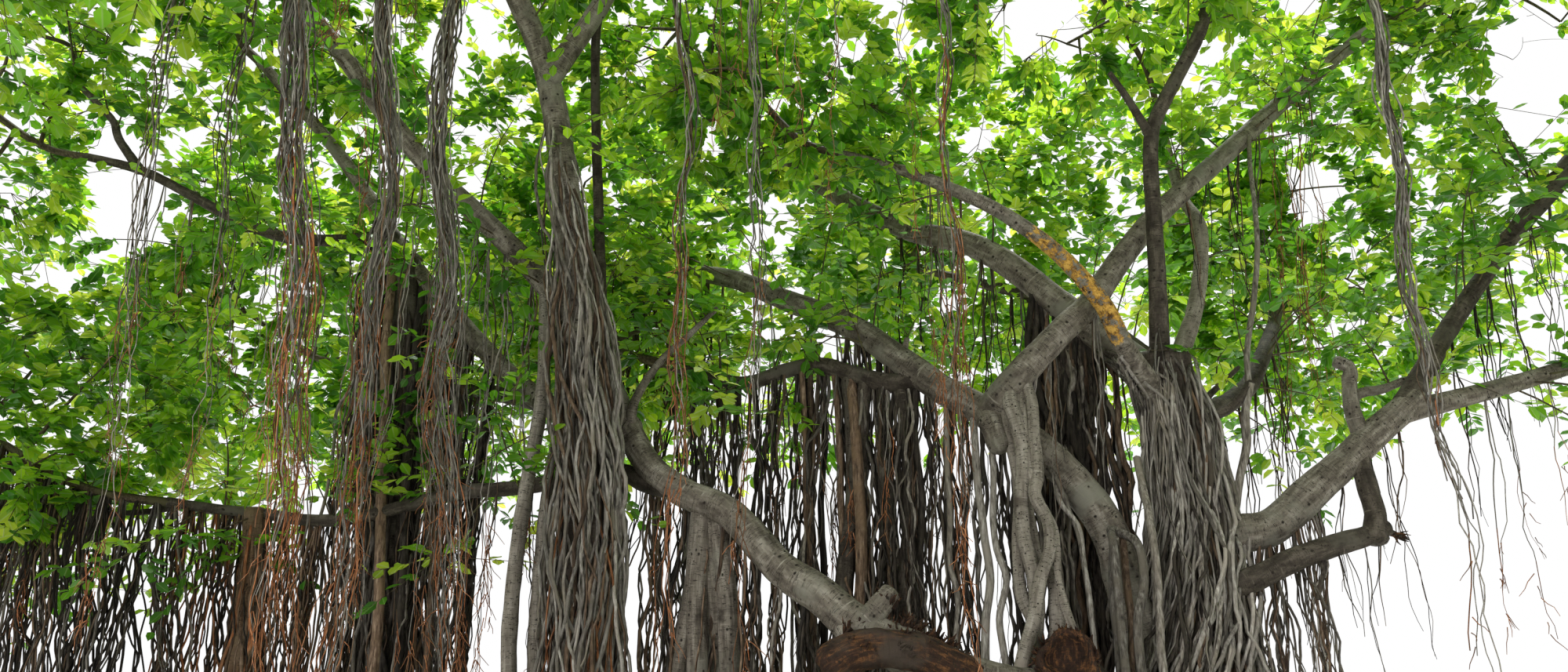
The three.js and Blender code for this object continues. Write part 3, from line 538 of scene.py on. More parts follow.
# A closed tube with domed ends round a line, and where its bark lies on the line laid straight
def tubeRows(line, radii, sideCount, ridge=None):
    along, first, second = framesOf(line)
    rows = []
    for end, turn, sign in ((0, 0, -1), (-1, -1, 1)):
        domes = [(line[end] + sign * along[end] * radii[end] * rise, radii[end] * width, turn)
                 for rise, width in ((0.3, 0.9), (0.52, 0.6))]
        rows.append(domes[::-1] if end == 0 else domes)
    rows = rows[0] + [(line[k], radii[k], k) for k in range(len(line))] + rows[1]
    centres = np.array([row[0] for row in rows])
    turns = np.array([row[2] for row in rows])
    share = np.concatenate([[0, 0], np.linspace(0, 1, len(line)), [1, 1]])
    angle = np.linspace(0, 2 * math.pi, sideCount, endpoint=False)
    width = np.array([row[1] for row in rows])[:, None] * (
        ridge(share[:, None], angle[None, :]) if ridge else np.ones((1, sideCount)))
    out = (np.cos(angle)[None, :, None] * first[turns][:, None, :]
           + np.sin(angle)[None, :, None] * second[turns][:, None, :])
    places = (centres[:, None, :] + width[..., None] * out).reshape(-1, 3)
    run = np.concatenate([[0], np.cumsum(np.linalg.norm(np.diff(centres, axis=0), axis=1))])
    mean = float(np.mean(radii))
    space = np.stack([np.broadcast_to(np.cos(angle) * mean, width.shape),
                      np.broadcast_to(np.sin(angle) * mean, width.shape),
                      np.broadcast_to(run[:, None], width.shape)], axis=-1).reshape(-1, 3)
    count = len(rows)
    last, foot, top = (count - 1) * sideCount, count * sideCount, count * sideCount + 1
    caps = [(foot, (k + 1) % sideCount, k) for k in range(sideCount)]
    caps += [(top, last + k, last + (k + 1) % sideCount) for k in range(sideCount)]
    places = np.vstack([places, centres[:1] - along[0] * radii[0] * 0.06,
                        centres[-1:] + along[-1] * radii[-1] * 0.06])
    space = np.vstack([space, [[0, 0, 0], [0, 0, run[-1]]]])
    return places, wallsOf(count, sideCount) + caps, space


# One object of several tubes, each given as its line, its radii and its number of sides
def sweep(name, tubes, ridge=None, grounded=False):
    places, faces, spaces, shift = [], [], [], 0
    for order, (line, radii, sides) in enumerate(tubes):
        corners, walls, space = tubeRows(line, radii, sides, ridge)
        places.append(corners)
        spaces.append(space + np.array([0, 0, 7.3 * order]))
        faces += [tuple(corner + shift for corner in wall) for wall in walls]
        shift += len(corners)
    places = np.vstack(places)
    relief = np.ones(len(places))
    if grounded:
        places[:, 2] = np.maximum(places[:, 2], 0)
        relief = np.clip(places[:, 2] / 0.05, 0, 1)
    return meshOf(name, places, faces, values={"barkSpace": np.vstack(spaces), "relief": relief})


# Trunk

trunk = {
    "height": 4.06, "baseRadius": 0.9, "waistRadius": 0.4, "topRadius": 0.215, "flare": 0.62, "taper": 3.1,
    "lean": [(0, 0), (0.15, 0.03), (0.38, 0.06), (0.4, 0.11), (0.34, 0.12)],
    "buttresses": 7, "buttressDepth": 0.26, "fluteDepth": 0.07, "sides": 120, "rise": 0.035, "seed": 4.0,
}
trunkLine = lineThrough([(x, y, trunk["height"] * k / 4) for k, (x, y) in enumerate(trunk["lean"])], 0.05)


def trunkAt(height, turn, stand=0.0):
    height, turn = np.broadcast_arrays(np.asarray(height, float), np.asarray(turn, float))
    column = trunk["waistRadius"] + (trunk["topRadius"] - trunk["waistRadius"]) * np.minimum(
        height / trunk["taper"], 1) ** 1.4
    flare = np.exp(-height / trunk["flare"])
    depth = trunk["fluteDepth"] + (trunk["buttressDepth"] - trunk["fluteDepth"]) * flare
    ridge = np.cos(trunk["buttresses"] * turn) * 0.7 + np.cos(3 * turn + 1) * 0.3
    radius = (column + (trunk["baseRadius"] - trunk["waistRadius"]) * flare) * (1 + depth * ridge) + stand
    around = turn + height / trunk["height"]
    middle = [np.interp(height, trunkLine[:, 2], trunkLine[:, k]) for k in (0, 1)]
    return np.stack([middle[0] + radius * np.cos(around), middle[1] + radius * np.sin(around), height],
                    axis=-1)


def makeTrunk():
    heights = np.arange(0, trunk["height"], trunk["rise"])
    turns = np.linspace(0, 2 * math.pi, trunk["sides"], endpoint=False)
    rings = trunkAt(heights[:, None], turns[None, :])
    middle = np.array([*trunkLine[-1][:2], trunk["height"]])
    crown = [middle + (rings[-1] - middle) * width + up * rise for width, rise in ((0.85, 0.02), (0.5, 0.05))]
    places = np.vstack([rings.reshape(-1, 3), *crown, [[0, 0, 0], middle + up * 0.06]])
    count, sides = len(heights) + 2, trunk["sides"]
    faces = wallsOf(count, sides)
    foot, top = len(places) - 2, len(places) - 1
    for k in range(sides):
        after = (k + 1) % sides
        faces.append((foot, after, k))
        faces.append((top, (count - 1) * sides + k, (count - 1) * sides + after))
    flat = np.repeat(np.concatenate([[0.0], np.minimum(1, heights[1:] / 0.2), [0.6, 0.3]]), sides)
    thing = meshOf("trunk_bark", places, faces, values={
        "barkSpace": places, "relief": np.append(flat, [0, 0.2])})
    roughen(thing, "trunkBark", (0.05, 6.0), (0.008, 8.0), (0.04, 1.6), 0.2, trunk["seed"])
    settle(thing, ["trunk"])


makeTrunk()
print("trunk made")

# Limbs: bark, radius at the collar and the tip, and the places they bend at
limbs = {
    "left_main_limb": ("limbBark", (0.155, 0.056), [(0.1, 0, 1.3), (-0.15, 0, 2.28), (-0.19, 0, 2.53),
        (-0.33, 0, 2.82), (-0.58, 0.02, 3.15), (-0.86, 0.05, 3.4), (-1.15, 0.08, 3.6), (-1.44, 0.2, 3.8),
        (-1.76, 0.35, 4.09), (-2.15, 0.6, 4.45), (-2.62, 0.9, 4.74), (-3.25, 1.4, 5.15), (-4.5, 2.7, 5.6)]),
    "crossing_limb": ("limbBark", (0.108, 0.056), [(-1.09, 0.04, 3.54), (-0.98, -0.1, 3.7),
        (-0.75, -0.16, 3.95), (-0.49, -0.15, 4.21), (-0.27, -0.08, 4.42), (0.01, 0.05, 4.8),
        (0.34, 0.2, 5.2), (0.69, 0.35, 5.55), (1.08, 0.5, 5.9), (1.94, 0.85, 6.7), (3.03, 1.2, 7.63),
        (3.89, 1.5, 8.19)]),
    "rear_limb": ("limbBark", (0.136, 0.058), [(0.25, 0.15, 3.85), (-0.01, 0.3, 4.19), (-0.32, 0.42, 4.52),
        (-0.53, 0.52, 4.76), (-0.79, 0.65, 5.04), (-1.1, 0.8, 5.28), (-1.53, 1, 5.46), (-2.36, 1.4, 6.08),
        (-3.02, 1.8, 6.82)]),
    "golden_limb": ("goldenBark", (0.08, 0.036), [(0.2, 0, 3.75), (-0.1, -0.3, 4.04), (-0.24, -0.4, 4.29),
        (-0.46, -0.42, 4.59), (-0.69, -0.42, 4.83), (-1.04, -0.4, 5.1), (-1.37, -0.38, 5.28),
        (-1.67, -0.36, 5.42), (-2.25, -0.35, 5.6)]),
    "upright_stem": ("darkBark", (0.07, 0.038), [(0.29, 0.06, 3.95), (0.28, -0.08, 4.47),
        (0.29, -0.13, 5.19), (0.3, -0.15, 5.66), (0.35, -0.16, 5.95), (0.56, -0.2, 6.35),
        (0.76, -0.25, 6.72), (0.89, -0.3, 7.06), (1.42, -1.6, 8), (1.95, -2.5, 8.15)]),
    "dead_fork": ("darkBark", (0.04, 0.022), [(0.32, -0.16, 5.83), (0.13, -0.25, 6.12),
        (-0.02, -0.3, 6.34)]),
    "pale_stem": ("paleRoot", (0.074, 0.038), [(0.42, 0.16, 3.9), (0.52, 0.22, 4.1), (0.68, 0.3, 4.43),
        (0.82, 0.42, 4.84), (0.91, 0.55, 5.32), (0.88, 0.85, 5.75), (0.8, 1, 6.6)]),
    "right_bough": ("limbBark", (0.155, 0.1), [(0.23, 0.05, 2.54), (0.54, 0, 2.56), (0.73, -0.03, 2.61),
        (0.98, -0.06, 2.66), (1.29, -0.1, 2.92), (1.58, -0.1, 3.15), (1.85, -0.1, 3.38),
        (2.2, -0.1, 3.65)]),
    "right_high_bough": ("darkBark", (0.082, 0.044), [(2.12, -0.09, 3.6), (2.52, 0, 4.13),
        (2.84, 0.1, 4.5), (3.16, 0.17, 4.86), (3.69, 0.3, 5.45), (4.11, 0.4, 5.88), (4.87, 0.6, 6.62)]),
    "right_low_bough": ("limbBark", (0.08, 0.042), [(2.06, -0.09, 3.54), (2.5, -0.1, 3.64),
        (3.43, -0.1, 3.9), (4.7, -0.2, 4.35)]),
    "front_right_bough": ("darkBark", (0.06, 0.038), [(3.34, 0.2, 5.08), (4.05, -0.5, 5.9),
        (4.75, -1.5, 6.6)]),
    "elbow_limb": ("darkBark", (0.104, 0.07), [(0.2, -0.06, 1.95), (0.54, -0.15, 2.19), (0.76, -0.2, 2.27),
        (1.04, -0.25, 2.4), (1.34, -0.25, 2.5), (1.59, -0.24, 2.57), (1.75, -0.23, 2.64)]),
    "elbow_riser": ("darkBark", (0.08, 0.062), [(1.66, -0.24, 2.57), (1.7, -0.22, 2.74),
        (1.69, -0.18, 2.94), (1.69, -0.14, 3.13), (1.73, -0.1, 3.3)]),
    "low_limb": ("limbBark", (0.24, 0.15), [(0, -0.15, 0.95), (-0.53, -0.43, 1.33), (-1.27, -0.69, 1.48),
        (-2.05, -0.8, 1.81)]),
    "great_limb": ("limbBark", (0.125, 0.056), [(-2, -0.8, 1.79), (-2.22, -0.75, 1.92),
        (-2.43, -0.65, 2.11), (-2.7, -0.5, 2.3), (-2.84, -0.45, 2.45), (-3.11, -0.3, 2.74),
        (-3.45, -0.2, 2.9), (-3.71, -0.08, 3.1), (-3.89, 0, 3.38), (-4.03, 0.05, 3.67), (-4.18, 0.1, 4.04),
        (-4.35, 0.1, 4.34), (-4.6, 0.05, 4.59), (-4.99, -0.05, 5), (-5.49, -0.2, 5.45),
        (-5.92, -0.4, 5.94), (-6.27, -0.6, 6.4), (-7.01, -1, 7.22)]),
    "second_limb": ("limbBark", (0.098, 0.044), [(-3.9, 0.02, 3.42), (-4.69, 0.5, 3.75),
        (-5.87, 0.8, 4.94), (-6.77, 0.9, 6.16), (-7.6, 0.9, 7.1)]),
    "third_limb": ("darkBark", (0.07, 0.038), [(-3.55, -0.16, 2.94), (-3.78, -0.02, 3.01),
        (-3.94, 0.1, 3.1), (-4.31, 0.25, 3.13), (-4.64, 0.35, 3.05), (-4.97, 0.42, 3.02), (-5.32, 0.45, 3),
        (-5.71, 0.5, 2.91), (-6.11, 0.5, 2.81), (-6.48, 0.5, 2.78), (-6.93, 0.5, 2.84),
        (-7.29, 0.45, 2.87), (-7.57, 0.3, 2.9)]),
    "far_left_bough": ("darkBark", (0.058, 0.034), [(-6.15, 0.82, 5.32), (-7.18, 0.82, 5.34),
        (-8.52, 0.8, 5.97), (-9.0, 0.75, 6.08)]),
    "back_left_bough": ("darkBark", (0.08, 0.042), [(-4.69, 0.5, 3.76), (-5.6, 1.7, 4.15),
        (-7.0, 2.9, 4.7), (-7.5, 3.3, 4.85)]),
    "back_middle_bough": ("darkBark", (0.11, 0.05), [(0.3, 0.12, 3.3), (0.72, 1.3, 4.2), (0.2, 2.5, 5.2),
        (-0.7, 3.1, 5.7)]),
    "back_right_bough": ("darkBark", (0.1, 0.048), [(0.38, 0.11, 3.1), (0.76, 0.5, 3.64),
        (1.08, 0.8, 3.81), (1.39, 1.05, 4.04), (1.72, 1.45, 4.44), (2.5, 2.8, 5.3)]),
    "side_limb": ("darkBark", (0.08, 0.046), [(-1.58, 0.27, 3.92), (-1.8, 0.36, 3.88), (-2.11, 0.5, 3.99),
        (-2.4, 0.62, 4.1), (-2.7, 0.7, 4.07), (-3.04, 0.8, 3.99), (-3.7, 1, 4.2)]),
    "pillar_bough": ("limbBark", (0.128, 0.046), [(-4.25, -0.33, 4.06), (-4.42, -0.38, 5.22),
        (-4.7, -0.42, 6.5), (-5.22, -1.2, 7.35), (-5.86, -2.05, 7.75), (-5.95, -2.9, 7.85)]),
    "pillar_fork": ("limbBark", (0.08, 0.042), [(-4.6, -0.41, 6.25), (-4.21, -0.5, 6.83),
        (-3.57, -1.35, 7.5), (-1.66, -1.55, 7.9), (-1.35, -2.45, 7.98)]),
}
limbValues = {"spacing": 0.035, "facet": 0.032, "collarSwell": 0.28, "collarLength": 0.07,
              "furrows": 0.16, "rings": 0.035, "lumps": 0.22}
lines = {}  # every limb and root by name: the places along it and its radii


def makeLimb(name, order):
    bark, (collar, tip), path = limbs[name]
    line = lineThrough(path, limbValues["spacing"])
    share = np.linspace(0, 1, len(line))
    radii = (tip + (collar - tip) * (1 - share) ** 0.85) * (
        1 + limbValues["collarSwell"] * np.exp(-share / limbValues["collarLength"]))
    lines[name] = (line, radii)
    mean = float(radii.mean())
    sides = int(min(44, max(14, round(2 * math.pi * mean / limbValues["facet"]))))
    thing = sweep(name + "_bark", [(line, radii, sides)])
    roughen(thing, bark, (limbValues["furrows"] * mean, 0.9 / mean), (limbValues["rings"] * mean, 10.0),
            (limbValues["lumps"] * mean, 0.42 / mean), 0.3, float(order) * 3.7)
    settle(thing, [name])


for order, name in enumerate(limbs):
    makeLimb(name, order)
print("limbs made")

# Pillars of roots grown together: bark, radii at the foot, the waist and the top, how many flutes
# they have, and their places
pillars = {
    "root_pillar": ("trunkBark", (0.4, 0.265, 0.15), 5, [(-4.1, -0.36, 0), (-4.13, -0.36, 1.6),
        (-4.16, -0.35, 3.0), (-4.25, -0.33, 4.06)]),
    "dark_root_pillar": ("darkBark", (0.33, 0.235, 0.12), 4, [(-5.86, 0.83, 0), (-5.95, 0.83, 2.4),
        (-6.02, 0.825, 5.12)]),
    "brown_root_pillar": ("brownRoot", (0.25, 0.165, 0.085), 4, [(-6.9, 0.56, 0), (-6.92, 0.53, 1.5),
        (-6.95, 0.5, 2.845)]),
    "rear_root_pillar": ("darkBark", (0.26, 0.19, 0.11), 4, [(-0.34, 0.72, 0), (-0.33, 0.64, 2.4),
        (-0.3, 0.43, 4.5)]),
}
pillarValues = {"spacing": 0.035, "sides": 64, "flute": 0.13, "twist": 3.5}


def makePillar(name, order):
    bark, (foot, waist, top), flutes, path = pillars[name]
    line = lineThrough(path, pillarValues["spacing"])
    share = np.linspace(0, 1, len(line))
    radii = top + (waist - top) * (1 - share) + (foot - waist) * np.exp(-10 * share)
    lines[name] = (line, radii)

    def ridge(along, turn):
        return (1 + pillarValues["flute"] * np.cos(flutes * turn + along * pillarValues["twist"])
                + 0.05 * np.cos((2 * flutes + 1) * turn - along * 5))

    thing = sweep(name + "_bark", [(line, radii * 0.94, pillarValues["sides"])], ridge, grounded=True)
    roughen(thing, bark, (0.035, 9.0), (0.004, 9.0), (0.03, 2.0), 0.12, 50.0 + 3.1 * order)
    settle(thing, [name])


for order, name in enumerate(pillars):
    makePillar(name, order)
print("pillars made")


# Strands of root. A strand is a row of places with its radius, and they are kept by skin

strandValues = {"step": 0.085, "stoutFrom": 0.0115, "fineSides": 3, "stoutSides": 5, "mostTriangles": 180000,
                "wander": 0.26, "wanderScale": 1.9, "kink": 0.13, "kinkScale": 4.2}


class Strands:
    def __init__(self):
        self.rows = []

    def lay(self, line, girth, loose, phase):
        number = len(line)
        self.rows.append((line, np.broadcast_to(girth, number), np.broadcast_to(loose, number), phase))


# Tubes for rows of strands, in as many pieces as keep each one small enough
def makeTubes(name, rows, sides, values, nodes=()):
    sizes = np.cumsum([(len(row[0]) - 1) * 2 * sides + 2 * (sides - 2) for row in rows])
    groups = (sizes // strandValues["mostTriangles"]).astype(int)
    for group in range(groups[-1] + 1):
        kept = [row for row, own in zip(rows, groups) if own == group]
        starts = np.cumsum([0] + [len(row[0]) for row in kept])
        edges = [pair for start, end in zip(starts[:-1], starts[1:])
                 for pair in zip(range(start, end - 1), range(start + 1, end))]
        ending = f"_{group + 1}" if groups[-1] else ""
        thing = meshOf(name + ending, np.vstack([row[0] for row in kept]), edges=edges, values={
            "girth": np.concatenate([row[1] for row in kept]),
            "loose": np.concatenate([row[2] for row in kept]),
            "phase": np.concatenate([np.full(len(row[0]), row[3]) for row in kept])})
        grow(thing, strandTubes, {"Sides": sides, **values})
        places = np.empty(len(thing.data.vertices) * 3, np.float32)
        thing.data.vertices.foreach_get("co", places)
        places[2::3] = np.maximum(places[2::3], 0)  # nothing goes below the ground
        thing.data.vertices.foreach_set("co", places)
        settle(thing, nodes)


rng = np.random.default_rng(20)
rootletValues = {"each": 5, "length": (0.07, 0.22), "girth": (0.0042, 0.0022)}
hanging = {skin: Strands() for skin in rootSkins}


def anyTurn(random):
    return random.uniform(0, 6.28)


def seedOf(random):
    return float(random.uniform(0, 400))


# A slow sideways sway: sums of a few waves with their own phases
def sway(run, amount, random):
    bend = np.zeros((len(run), 3))
    for often in (0.9, 2.1, 4.3):
        for axis in (0, 1):
            bend[:, axis] += np.sin(run * often * random.uniform(0.8, 1.25) + anyTurn(random)) / often ** 0.8
    return amount * (bend - bend[0])


# Short fine rootlets that stand off the orange end of a strand
def addRootlets(line, random):
    for _ in range(rootletValues["each"]):
        start = line[int(random.integers(len(line)))]
        way = unit(random.normal(0, 1, 3) * np.array([0.45, 0.45, 0.3]) - up)
        length = random.uniform(*rootletValues["length"])
        row = start + way * length * np.linspace(0, 1, 4)[:, None] + random.normal(0, 0.006, (4, 3))
        hanging["orange"].lay(row, np.linspace(*rootletValues["girth"], 4), 0.0, seedOf(random))


# A rope of strands that twine loosely round a line from top to foot
def rope(top, foot, strands, spread, girth, skins, random, swing=0.05, tips=None, grounded=False, fan=1.0):
    top, foot = np.array(top, float), np.array(foot, float)
    length = np.linalg.norm(foot - top)
    count = max(4, int(length / strandValues["step"]))
    share = np.linspace(0, 1, count + 1)
    middle = top + (foot - top) * share[:, None] + sway(share * length, swing, random) * np.minimum(
        1, share * 4)[:, None]
    for k in range(strands):
        reach = 1.0 if grounded else random.uniform(0.6, 1.0)
        keep = max(4, int(round(count * reach)) + 1)
        run = share[:keep] * length
        turn = anyTurn(random) + run * random.uniform(-1.6, 1.6) + 0.8 * np.sin(
            run * random.uniform(1.0, 2.6) + anyTurn(random))
        off = spread * random.uniform(0.25, 1.0) * (0.45 + 0.55 * np.abs(np.sin(run * 0.9 + anyTurn(random))))
        off = off * np.minimum(1, 0.3 + run / 0.6) * (fan + (1 - fan) * run / length)
        line = middle[:keep] + np.stack([np.cos(turn) * off, np.sin(turn) * off, np.zeros(keep)], axis=-1)
        width = random.uniform(*girth)
        taper = width * (1 - (0.25 if grounded else 0.65) * share[:keep] / reach)
        skin = skins[int(random.integers(len(skins)))]
        loose = np.minimum(1, run / 0.5) * (np.minimum(1, (length - run) / 0.3 + 0.3) if grounded else 0.75)
        line[:, 2] = np.maximum(line[:, 2], taper * 0.4)
        phase = seedOf(random)
        if tips and not grounded:
            cut = int(keep * random.uniform(*tips))
            if 3 < cut < keep - 3:
                hanging[skin].lay(line[:cut], taper[:cut], loose[:cut], phase)
                hanging["orange"].lay(line[cut - 1:], taper[cut - 1:], loose[cut - 1:], phase)
                addRootlets(line[cut:], random)
                continue
        hanging[skin].lay(line, taper, loose, phase)


def limbAt(name, x):
    line, radii = lines[name]
    k = int(np.argmin(np.abs(line[:, 0] - x)))
    return line[k], radii[k]


# Roots that grew down to the ground or hang in bundles, by the source's rule
rootLooks = {
    "twin_root_left": ("paleRoot", 0.05, [((-4.63, 0.03, 4.6), (-4.7, -0.2, 0), 0.048, 0.066)]),
    "twin_root_right": ("paleRoot", 0.04, [((-4.5, 0.06, 4.46), (-4.52, -0.06, 0), 0.044, 0.058)]),
    "centre_root_curtain": ("darkBark", 0.06, [
        ((-1.96 + shift, 0.43 - shift * 0.45, 3.95 - shift * 0.25),
         (-1.95 + shift * 1.3, 0.45 + 0.05 * (k % 2), 0), 0.054, 0.092)
        for k, shift in enumerate((-0.21, -0.07, 0.07, 0.21))]),
    "cone_roots": ("coneRoot", 0.03, [
        ((-3.27 + spread * 0.15, -0.23, 2.82), (-3.25 + spread * 1.3, 0.06 - 0.26 * (k % 2), 0), 0.072, 0.092)
        for k, spread in enumerate((-0.3, -0.09, 0.11, 0.3))]),
}
# The strangler roots twine round each other, so each one's places are given
stranglers = [
    (0.058, 0.05, [(-0.92, -0.1, 3.76), (-0.97, -0.2, 3.61), (-0.93, -0.25, 3.4), (-0.91, -0.29, 3.12),
        (-0.95, -0.32, 2.82), (-0.95, -0.37, 2.53), (-0.9, -0.41, 2.24), (-0.91, -0.45, 1.97),
        (-0.99, -0.5, 1.61), (-1.02, -0.56, 0)]),
    (0.046, 0.056, [(-0.84, -0.13, 3.85), (-0.81, -0.24, 3.55), (-0.82, -0.29, 3.3), (-0.82, -0.33, 3.02),
        (-0.86, -0.38, 2.86), (-0.79, -0.42, 2.68), (-0.79, -0.46, 2.46), (-0.88, -0.5, 2.25),
        (-0.95, -0.54, 1.96), (-1.07, -0.58, 1.61), (-1.12, -0.66, 0)]),
    (0.052, 0.06, [(-0.9, -0.1, 3.79), (-0.9, -0.19, 3.5), (-0.9, -0.2, 3.25), (-0.9, -0.22, 2.94),
        (-0.89, -0.26, 2.68), (-0.85, -0.3, 2.41), (-0.76, -0.36, 2.27), (-0.76, -0.42, 2.02),
        (-0.8, -0.48, 1.61), (-0.78, -0.58, 0)]),
    (0.04, 0.048, [(-0.96, -0.1, 3.73), (-0.99, -0.13, 3.45), (-0.95, -0.16, 3.13), (-0.94, -0.19, 2.83),
        (-0.98, -0.24, 2.48), (-0.98, -0.3, 2.14), (-0.91, -0.36, 1.92), (-0.87, -0.42, 1.61),
        (-0.92, -0.5, 0)]),
    (0.03, 0.03, [(-0.86, -0.12, 3.83), (-0.88, -0.26, 3.42), (-0.87, -0.32, 3.05), (-0.81, -0.38, 2.78),
        (-0.74, -0.43, 2.58), (-0.75, -0.48, 2.29), (-0.73, -0.53, 2.07), (-0.68, -0.58, 1.8),
        (-0.66, -0.62, 0)]),
]
rootValues = {"spacing": 0.045, "sides": 16, "bendEvery": 0.9}


# A root's way down: straight in the main, with a slow sway to both sides
def rootLine(top, foot, swayBy, phase):
    start, end = np.array(top, float), np.array(foot, float)
    bends = max(4, round(np.linalg.norm(end - start) / rootValues["bendEvery"]))
    points = []
    for k in range(bends + 1):
        share = k / bends
        swing = swayBy * math.sin(math.pi * min(1, share * 4) * 0.5)
        points.append(start + (end - start) * share + np.array([
            swing * math.sin(share * 9 + phase), swing * 0.5 * math.cos(share * 7 + phase * 2), 0]))
    return lineThrough(points, rootValues["spacing"])


def makeGroundRoots(name, order):
    bark, swayBy, strands = rootLooks[name]
    tubes = []
    for k, (top, foot, upper, lower) in enumerate(strands):
        line = rootLine(top, foot, swayBy, k * 2.1)
        share = np.linspace(0, 1, len(line))
        radii = (upper + (lower - upper) * share) * (1 + 0.6 * np.exp((share - 0.955) * 40) * share)
        tubes.append((line, radii, rootValues["sides"]))
    lines[name] = tubes[0][:2]
    thing = sweep(name + "_bark", tubes, grounded=True)
    roughen(thing, bark, (0.016, 16.0), (0.003, 12.0), (0.022, 5.0), 0.15, 80.0 + 2.3 * order)
    settle(thing, [name])


for order, name in enumerate(rootLooks):
    makeGroundRoots(name, order)


def makeStranglers():
    tubes = []
    for upper, lower, path in stranglers:
        line = lineThrough(path, rootValues["spacing"])
        tubes.append((line, np.linspace(upper, lower, len(line)), rootValues["sides"]))
    lines["strangler_roots"] = tubes[0][:2]
    thing = sweep("strangler_roots_bark", tubes, grounded=True)
    roughen(thing, "paleRoot", (0.014, 18.0), (0.004, 14.0), (0.03, 4.5), 0.15, 97.0)
    settle(thing, ["strangler_roots"])


makeStranglers()

# Short branches and stubs: bark, radius at the root and the end, roughness, places
stubs = {
    "right_fork_branch": ("darkBark", 0.046, 0.03, 1.0, [(0.4, 0.0, 3.25), (0.5, -0.05, 3.36),
        (0.6, -0.05, 3.5), (0.74, -0.03, 3.57), (0.87, -0.01, 3.67), (0.97, 0.0, 3.8)]),
    "right_fork_twig": ("darkBark", 0.04, 0.018, 1.0, [(0.42, 0.08, 3.3), (0.54, 0.12, 3.46),
        (0.68, 0.17, 3.71), (0.85, 0.23, 3.86), (1.01, 0.3, 4.0)]),
    "knobbed_riser": ("limbBark", 0.066, 0.05, 1.6, [(1.76, -0.1, 3.3), (1.7, -0.1, 3.51),
        (1.71, -0.08, 3.77), (1.73, -0.07, 3.9), (1.65, -0.05, 3.95)]),
    "knobbed_branch": ("limbBark", 0.045, 0.026, 1.2, [(1.71, -0.06, 3.7), (1.78, 0.04, 3.7),
        (1.9, 0.06, 3.74), (2.03, 0.07, 3.76), (2.22, 0.09, 3.83), (2.45, 0.12, 3.9)]),
    "dead_splinter": ("darkBark", 0.05, 0.006, 1.8, [(1.6, -0.24, 2.58), (1.72, -0.23, 2.62),
        (1.8, -0.23, 2.6), (1.92, -0.23, 2.55)]),
    "pillar_side_branch": ("limbBark", 0.04, 0.02, 1.0, [(-3.88, 0.0, 3.36), (-3.88, -0.06, 3.57),
        (-3.8, 0.0, 3.79), (-3.67, 0.1, 4.02), (-3.48, 0.2, 4.24), (-3.26, 0.3, 4.5)]),
    "pillar_dark_stem": ("darkBark", 0.05, 0.038, 1.0, [(-4.15, 0.08, 3.9), (-4.19, 0.2, 4.3),
        (-4.22, 0.3, 4.62), (-4.29, 0.35, 5.5), (-4.33, 0.25, 6.28), (-4.28, -0.2, 6.7),
        (-4.22, -0.48, 6.82)]),
    "far_left_branch": ("darkBark", 0.04, 0.018, 1.0, [(-8.52, 0.8, 5.97), (-8.78, 0.83, 6.3),
        (-8.89, 0.9, 6.49), (-9.15, 0.97, 6.75), (-9.39, 1.0, 7.0), (-9.49, 1.03, 7.33),
        (-9.86, 1.07, 7.5)]),
    "third_limb_fork": ("darkBark", 0.026, 0.012, 1.0, [(-7.45, 0.35, 2.89), (-7.7, 0.36, 2.84),
        (-8.01, 0.4, 2.82), (-8.35, 0.47, 2.77), (-8.69, 0.53, 2.68), (-9.05, 0.6, 2.68)]),
    "left_main_knob": ("limbBark", 0.105, 0.088, 1.8, [(-1.12, 0.06, 3.58), (-1.1, -0.06, 3.47),
        (-1.07, -0.1, 3.36), (-1.05, -0.12, 3.26)]),
    "left_main_spur": ("limbBark", 0.035, 0.022, 1.8, [(-1.72, 0.33, 4.05), (-1.71, 0.32, 4.15),
        (-1.69, 0.3, 4.24)]),
    "great_limb_stub": ("limbBark", 0.1, 0.078, 1.6, [(-2.26, -0.78, 1.84), (-2.15, -0.81, 1.93),
        (-2.05, -0.82, 2.04), (-1.98, -0.82, 2.12)]),
    "low_limb_knuckle": ("tornWood", 0.115, 0.145, 2.6, [(-2.36, -0.9, 1.66), (-2.24, -0.93, 1.73),
        (-2.07, -0.92, 1.76), (-1.85, -0.88, 1.74), (-1.64, -0.84, 1.66), (-1.42, -0.76, 1.55)]),
    "low_limb_broken_stub": ("darkBark", 0.2, 0.17, 2.0, [(-0.5, -0.36, 1.4), (-0.58, -0.45, 1.47),
        (-0.64, -0.53, 1.53), (-0.68, -0.59, 1.57)]),
}


def makeStub(name, order):
    bark, upper, lower, rough, path = stubs[name]
    line = lineThrough(path, 0.03)
    share = np.linspace(0, 1, len(line))
    radii = (upper + (lower - upper) * share) * (1 + 0.25 * np.exp(-share / 0.1))
    lines[name] = (line, radii)
    mean = float(radii.mean())
    thing = sweep(name, [(line, radii, int(min(36, max(12, 2 * math.pi * mean / 0.02))))])
    roughen(thing, bark, (0.2 * rough * mean, 1.1 / mean), (0.05 * mean, 12.0),
            (0.3 * rough * mean, 0.6 / mean), 0.4, 130.0 + 3.1 * order)
    settle(thing)


for order, name in enumerate(stubs):
    makeStub(name, order)

